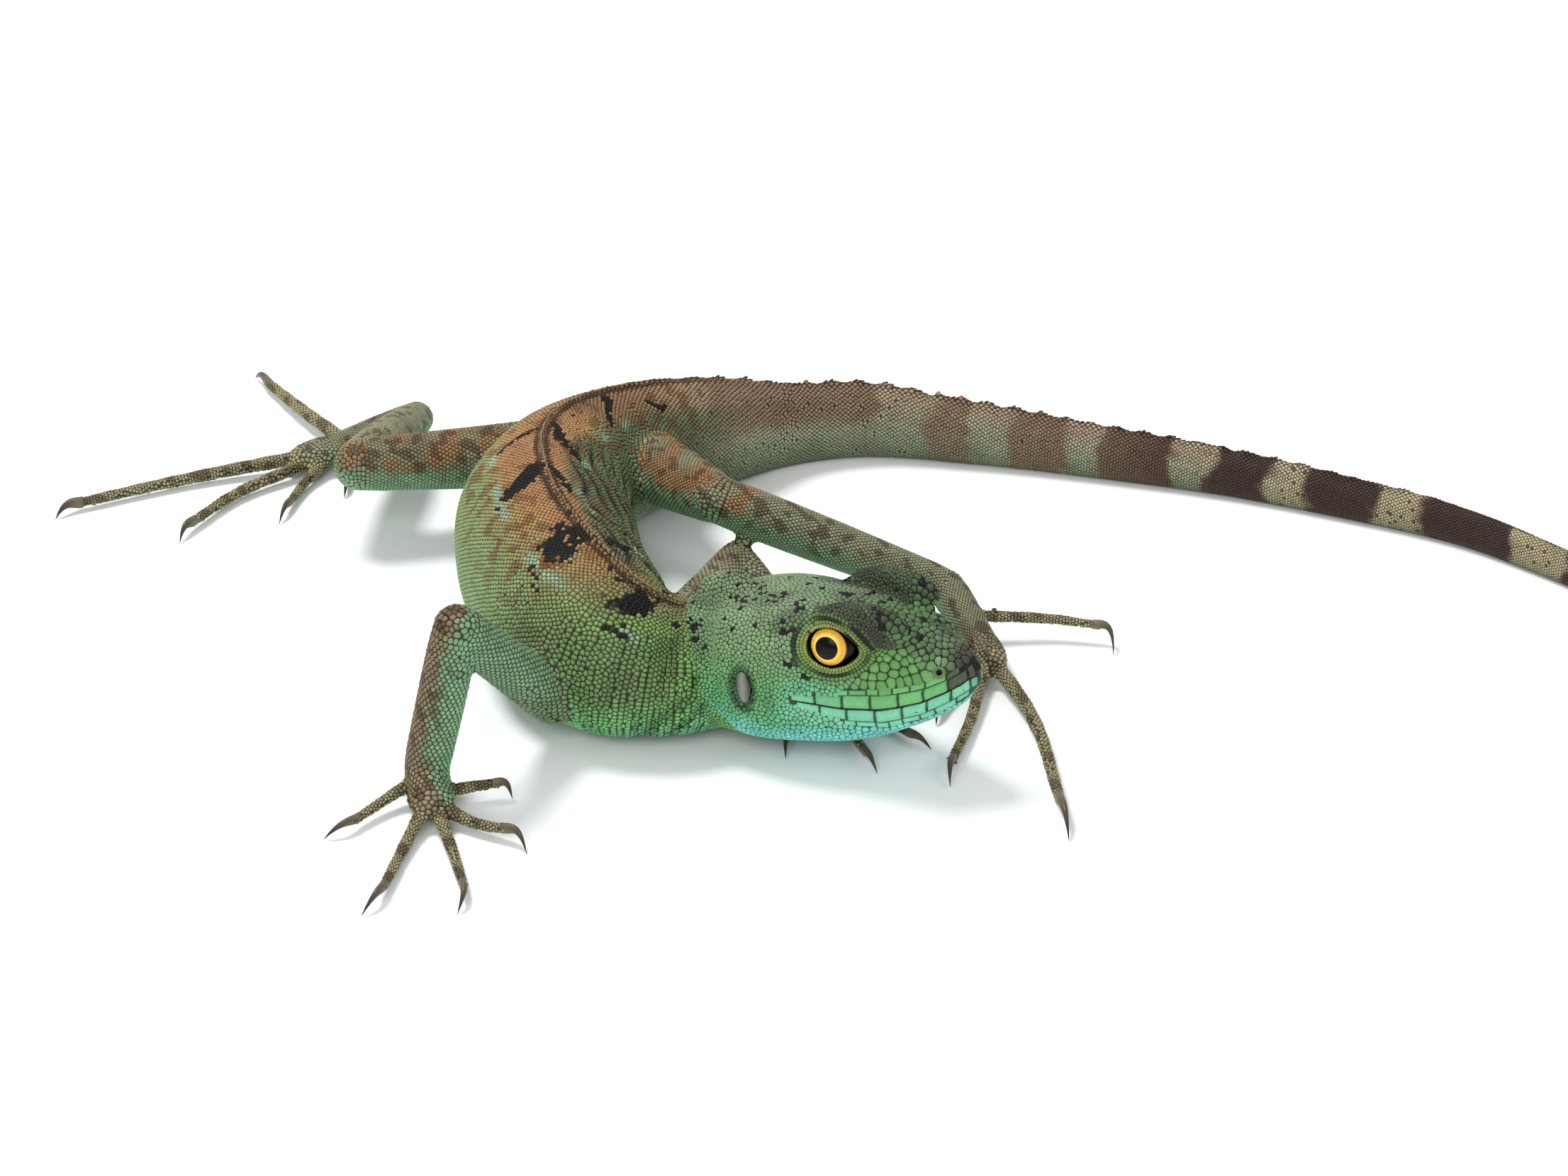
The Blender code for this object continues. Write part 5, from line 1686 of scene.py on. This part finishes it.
crestSetup = {
    "start": 2.5,
    "end": 262,
    "step": 0.86,
    # height at a distance along
    "high": [(2, 0.3), (10, 0.5), (60, 0.5), (74, 0.34), (120, 0.3), (200, 0.22), (262, 0.12)],
    "bump": 4.4,  # the tail's crest swells and sinks over this length
    "wide": 0.13,  # half the thickness
    # of each ring: share of the size, share of the height, lean back
    "rings": ((1.0, -0.08, 0.0), (0.9, 0.35, 0.12), (0.55, 0.75, 0.3)),
    "sides": 6,
    "edge": (0.60, 0.54, 0.38),
    "edgeTail": (0.36, 0.30, 0.22),
    "base": (0.27, 0.20, 0.13),
}


def ridgeSpot(at):
    k = min(int(round(at / spineStep)), len(spineLine) - 1)
    row = spineLine[k]
    turn = 2 * ridgeAt(at) * (1 - ease(at, 76, 84)) / (row[5] + row[3])
    way = spineAcross[k] * row[5] * math.sin(turn) + spineUp[k] * row[3] * math.cos(turn)
    centre = row[:3] + spineForward[k] * (at - k * spineStep)
    return castOut(centre, unitRows(way), 20), spineForward[k]


def makeCrest():
    rows, tint, relief, at = [], [], [], crestSetup["start"]
    sides, rings = crestSetup["sides"], crestSetup["rings"]
    rng = np.random.default_rng(seeds["crest"])
    edge, tailEdge, base = (linear(crestSetup[key]) for key in ("edge", "edgeTail", "base"))
    while at < crestSetup["end"]:
        step = crestSetup["step"] * (1 - 0.3 * ease(at, 70, 200))
        found, forward = ridgeSpot(at)
        if found is not None:
            spot, normal = found
            ahead = flatWay(forward, normal)
            side = np.cross(normal, ahead)
            swell = 0.2 + math.sin(math.pi * at / crestSetup["bump"]) ** 2
            high = onTable(at, crestSetup["high"]) * rng.uniform(0.8, 1.15)
            high *= 1 + (swell - 1) * ease(at, 70, 86)
            wide = crestSetup["wide"] * (1 - 0.4 * ease(at, 80, 240))
            top = edge + (tailEdge - edge) * ease(at, 68, 84)
            for size, lift, lean in rings:
                # the foot is dark, and the upper ring has the colour of the edge
                share = 0 if lift < 0 else lift * (1.0 if lift > 0.5 else 0.5)
                for turn in np.arange(sides) * 2 * math.pi / sides:
                    onward = math.cos(turn) * step * 0.52 * size + lean * step
                    place = spot + normal * (lift * high) + ahead * onward
                    rows.append(place + side * math.sin(turn) * wide * size)
                    tint.append(base + (top - base) * share)
                    # low relief at the foot brings painted shade where the crest meets the skin
                    relief.append(max(0.2, min(1, 0.5 + lift)))
            rows.append(spot + normal * high + ahead * 0.42 * step)
            tint.append(top)
            relief.append(1.0)
        at += step
    points = np.array(rows)
    tips = points[len(rings) * sides :: len(rings) * sides + 1]
    uv = bakeDiscs(bakeSpot(tips, nearestPart(tips)), (1.0, 0.73, 0.4), sides)
    faces = domeFaces(len(tips), len(rings), sides)
    piece = meshFrom("crest", points, faces, scalePaint, np.array(tint), np.array(relief), uv)
    dressPieces.append((piece, "torso"))
    print("crest scales", len(tips))


makeCrest()


# Claws: sickles of horn that reach back into the toes

clawSetup = {
    "rings": 10,
    "sides": 10,
    "root": 0.68,  # share of the toe's radius at its knuckle
    "narrow": 0.72,  # width over height
    "arch": 0.16,  # share of the length
    "inside": 0.9,  # how far it reaches back into the toe
    "point": 0.035,
    "lowest": 0.03,
    "horn": (0.40, 0.36, 0.28),
    "hornTip": (0.16, 0.13, 0.11),
}


def clawRows(toe):
    # middle and half height of each ring, from inside the toe to the point
    before, end = np.array(toe[1], float), np.array(toe[2], float)
    tip = np.array((*toe[3], 0.14))
    way = unitRows(end - before)
    start = end - way * clawSetup["inside"]
    reach = np.linalg.norm(tip - end)
    bend = end + unitRows(way + (0, 0, 0.35)) * reach * 0.42 + np.array((0, 0, clawSetup["arch"] * reach))
    rows = []
    for share in np.linspace(0, 1, clawSetup["rings"]):
        place = (1 - share) ** 3 * start + 3 * share * (1 - share) ** 2 * (end + way * 0.1 * reach)
        place = place + 3 * share**2 * (1 - share) * bend + share**3 * tip
        rows.append((*place, toe[4] * clawSetup["root"] * (1 - share**2.1) + clawSetup["point"]))
    return np.array(rows)


def makeClaws():
    sides, rings = clawSetup["sides"], clawSetup["rings"]
    points, faces, ends = [], [], []
    k = np.arange(sides)
    after = (k + 1) % sides
    for toe in [toe for toes in toeLines.values() for toe in toes]:
        rows = clawRows(toe)
        _, across, up = lineFrames(rows)
        first = len(points)
        for n, row in enumerate(rows):
            for turn in k * 2 * math.pi / sides:
                out = across[n] * math.cos(turn) * clawSetup["narrow"] + up[n] * math.sin(turn)
                points.append(row[:3] + out * row[3])
        for low in range(first, first + (rings - 1) * sides, sides):
            high = low + sides
            faces.append(np.stack([low + k, high + k, high + after, low + after], axis=1))
        ends += [first + k, high + k[::-1]]
    points = np.array(points)
    points[:, 2] = np.maximum(points[:, 2], clawSetup["lowest"])
    horn, hornTip = linear(clawSetup["horn"]), linear(clawSetup["hornTip"])
    share = np.clip(np.linspace(0, 1.5, rings) - 0.35, 0, 1)[:, None]
    tint = np.tile(np.repeat(horn + (hornTip - horn) * share, sides, axis=0), (len(ends) // 2, 1))
    faces = [np.concatenate(faces), np.array(ends)]
    piece = meshFrom("claws", points, faces, clawPaint, tint, np.ones(len(points)))
    editAll(piece, bpy.ops.mesh.normals_make_consistent, inside=False)
    dressPieces.append((piece, "claw"))
    return piece


clawPaint = hideMaterial("horn", 0.0, 0.15, coat=0.35)
claws = makeClaws()
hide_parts(*[name for name in nodes if name.startswith("claw")])
print("claws ready")


# Eyes: a glossy ball with an amber iris, its black pupil and the dark front corner

irisSetup = {
    "shift": 0.3,  # the iris sits this far behind the middle of the opening
    "iris": 2.22,
    "bulge": 0.2,
    "bulgeEnd": 1.15,  # over the radius of the iris, as the stops are
    "last": 1.5,
    "streaks": (14.0, 4.0, 0.7),  # scale, detail and roughness of the noise
    "specks": 2200.0,
    "streakBump": (0.08, 0.0001),
    "gloss": {"Roughness": 0.22, "SpecularIORLevel": 0.15, "CoatWeight": 0.08, "CoatRoughness": 0.02},
    "stops": [
        (0.0, (0.010, 0.008, 0.008)), (0.525, (0.010, 0.008, 0.008)), (0.55, (0.35, 0.22, 0.07)),
        (0.585, (0.98, 0.84, 0.40)), (0.66, (0.95, 0.76, 0.30)), (0.78, (0.88, 0.66, 0.22)),
        (0.91, (0.90, 0.70, 0.30)), (0.965, (0.66, 0.46, 0.17)), (1.0, (0.10, 0.07, 0.05)),
        (1.06, (0.035, 0.028, 0.030)), (1.5, (0.035, 0.028, 0.030)),
    ],
}


def makeEyePaint():
    material, book, shader, vector = startMaterial("eye")
    gaze = book.add("ShaderNodeAttribute", attribute_name="gaze").outputs["Color"]
    away, across, up = book.fill(book.add("ShaderNodeSeparateColor"), Color=gaze).outputs
    spin = book.fill(book.add("ShaderNodeCombineXYZ"), X=across, Y=up, Z=away)
    streaks = book.noise(spin.outputs[0], *irisSetup["streaks"])
    specks = book.noise(vector, irisSetup["specks"])
    share = book.line(book.math("SUBTRACT", streaks, 0.5), 0.02, away)
    base = book.ramp(share, stopsOf(irisSetup["stops"], irisSetup["last"]))
    light = book.line(streaks, 0.7, book.line(specks, 0.35, 0.5))
    relief = book.bump(streaks, *irisSetup["streakBump"])
    book.fill(shader, BaseColor=book.shaded(base, light), Normal=relief, **irisSetup["gloss"])
    return material


def makeEye(name, sign, paint):
    centre, out, ahead, _ = eyeFrame(sign)
    radius, shift = eyeSetup["radius"], irisSetup["shift"]
    aim = unitRows(out * math.sqrt(radius**2 - shift**2) - ahead * shift)
    bpy.ops.object.select_all(action="DESELECT")
    bpy.ops.mesh.primitive_uv_sphere_add(segments=64, ring_count=48, radius=radius * mm)
    bpy.ops.object.shade_smooth()
    eye = bpy.context.object
    eye.name = eye.data.name = name
    # the ball is turned to face along aim, and swells over the iris
    points = vertexRows(eye.data)
    share = np.arccos(np.clip(points[:, 2] / radius, -1, 1)) / math.asin(irisSetup["iris"] / radius)
    turn = np.arctan2(points[:, 1], points[:, 0])
    swell = np.clip(1 - (share / irisSetup["bulgeEnd"]) ** 2, 0, 1)
    points *= (1 + irisSetup["bulge"] / radius * swell)[:, None]
    right = flatWay(ahead, aim)
    setVertices(eye.data, centre + points @ np.array((right, np.cross(aim, right), aim)))
    away = np.minimum(share / irisSetup["last"], 1)
    gaze = np.stack([away, 0.5 + 0.5 * np.cos(turn), 0.5 + 0.5 * np.sin(turn), np.ones(len(turn))], axis=1)
    attribute = eye.data.attributes.new("gaze", "FLOAT_COLOR", "POINT")
    attribute.data.foreach_set("color", gaze.astype(np.float32).ravel())
    eye.data.materials.clear()
    eye.data.materials.append(paint)
    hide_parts(name.replace("Show", ""))
    dressPieces.append((eye, "eye"))


eyePaint = makeEyePaint()
makeEye("eye_rightShow", -1, eyePaint)
makeEye("eye_leftShow", 1, eyePaint)
print("eyes ready")


# Nostrils: a raised ring on each side of the snout, round a black ball that is painted shade for the hole

nostrilSetup = {
    "aim": (0.3, 1, 0.45),
    "ring": 0.58,
    "thick": 0.23,
    "hole": 0.4,
    "sink": 0.27,
    "rise": 0.02,
    "rim": (0.37, 0.47, 0.31),
    # how dark the ball in the hole is: painted shade
    "dark": 0.2,
}


def makeNostrils():
    pieces = []
    for sign in (-1, 1):
        spot, _ = onSkin(headPoint(*np.array(headSetup["nostril"]) * (1, sign, 1)))
        out = unitRows(headAxes @ (np.array(nostrilSetup["aim"]) * (1, sign, 1)))
        turn = Vector(out).to_track_quat("Z", "Y").to_euler()
        for part in ("ring", "hole"):
            bpy.ops.object.select_all(action="DESELECT")
            if part == "ring":
                bpy.ops.mesh.primitive_torus_add(
                    location=Vector(spot + out * nostrilSetup["rise"]) * mm,
                    rotation=turn,
                    major_segments=28,
                    minor_segments=12,
                    major_radius=nostrilSetup["ring"] * mm,
                    minor_radius=nostrilSetup["thick"] * mm,
                    generate_uvs=False,
                )
                tint = linear(nostrilSetup["rim"])
            else:
                bpy.ops.mesh.primitive_uv_sphere_add(
                    location=Vector(spot - out * nostrilSetup["sink"]) * mm,
                    rotation=turn,
                    segments=20,
                    ring_count=12,
                    radius=nostrilSetup["hole"] * mm,
                )
                # the black ball is painted shade where the hole would be
                tint = linear(shades["black"]) * nostrilSetup["dark"]
            bpy.ops.object.transform_apply(location=True, rotation=True, scale=True)
            bpy.ops.object.shade_smooth()
            mesh = bpy.context.object.data
            setHide(mesh, np.tile(tint, (len(mesh.vertices), 1)), np.ones(len(mesh.vertices)))
            pieces.append(bpy.context.object)
    nostrils = joined(pieces, "nostrils")
    nostrils.data.materials.append(headPaint)
    dressPieces.append((nostrils, "head"))


makeNostrils()
print("nostrils ready")


# Ear drums: the solids stay, with a thin pale membrane's finish

earSetup = {
    "half": 1.05,
    "cloud": 700.0,
    "waver": 0.18,
    "bump": (0.3, 0.0001),
    "gloss": {"Roughness": 0.4, "CoatWeight": 0.2},
    "stops": [
        (0.0, (0.16, 0.18, 0.14)), (0.22, (0.34, 0.38, 0.33)), (0.5, (0.50, 0.51, 0.47)),
        (0.74, (0.36, 0.38, 0.34)), (0.86, (0.16, 0.17, 0.13)), (1.0, (0.36, 0.44, 0.34)),
    ],
}


def earMaterial(name, sign):
    material, book, shader, vector = startMaterial(name)
    # the Mapping node centres the pattern on the drum and turns it along the head
    centre = Vector(headPoint(*np.array(headSetup["drum"]) * (1, sign, 1))) * mm
    turn = headTurn.transposed()
    vector.node.inputs["Rotation"].default_value = turn.to_euler()
    vector.node.inputs["Location"].default_value = -(turn @ centre)
    x = book.fill(book.add("ShaderNodeSeparateXYZ"), Vector=vector).outputs["X"]
    across = book.line(x, 0.5 / (earSetup["half"] * mm), 0.5, clamp=True)
    cloud = book.noise(vector, earSetup["cloud"])
    wavy = book.line(book.math("SUBTRACT", cloud, 0.5), earSetup["waver"], across, clamp=True)
    base = book.ramp(wavy, stopsOf(earSetup["stops"]))
    book.fill(shader, BaseColor=base, Normal=book.bump(cloud, *earSetup["bump"]), **earSetup["gloss"])
    return material


for name, sign in (("ear_right", -1), ("ear_left", 1)):
    for slot in nodes[name].material_slots:
        slot.material = earMaterial(name + "Drum", sign)


# The skin's own paint, after the coat has been laid on its full surface

setHide(skin.data, hideColour(skinPoints, skinNormals, skinNear, jitter=0), np.zeros(len(skinPoints)))
skin.data.materials.append(skinPaint)
faces = sum(len(p.vertices) - 2 for p in skin.data.polygons)
applyModifier(skin, "DECIMATE", ratio=min(1.0, skinSetup["triangles"] / faces), use_collapse_triangulate=True)
print("skin triangles:", len(skin.data.polygons))


# Last: the solids of the flesh are hidden and each piece is attached to the root

for name in filter(isFlesh, nodes):
    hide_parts(name)
for piece, slotName in [(skin, "torso"), *dressPieces]:
    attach(piece, "root")
print("finished")
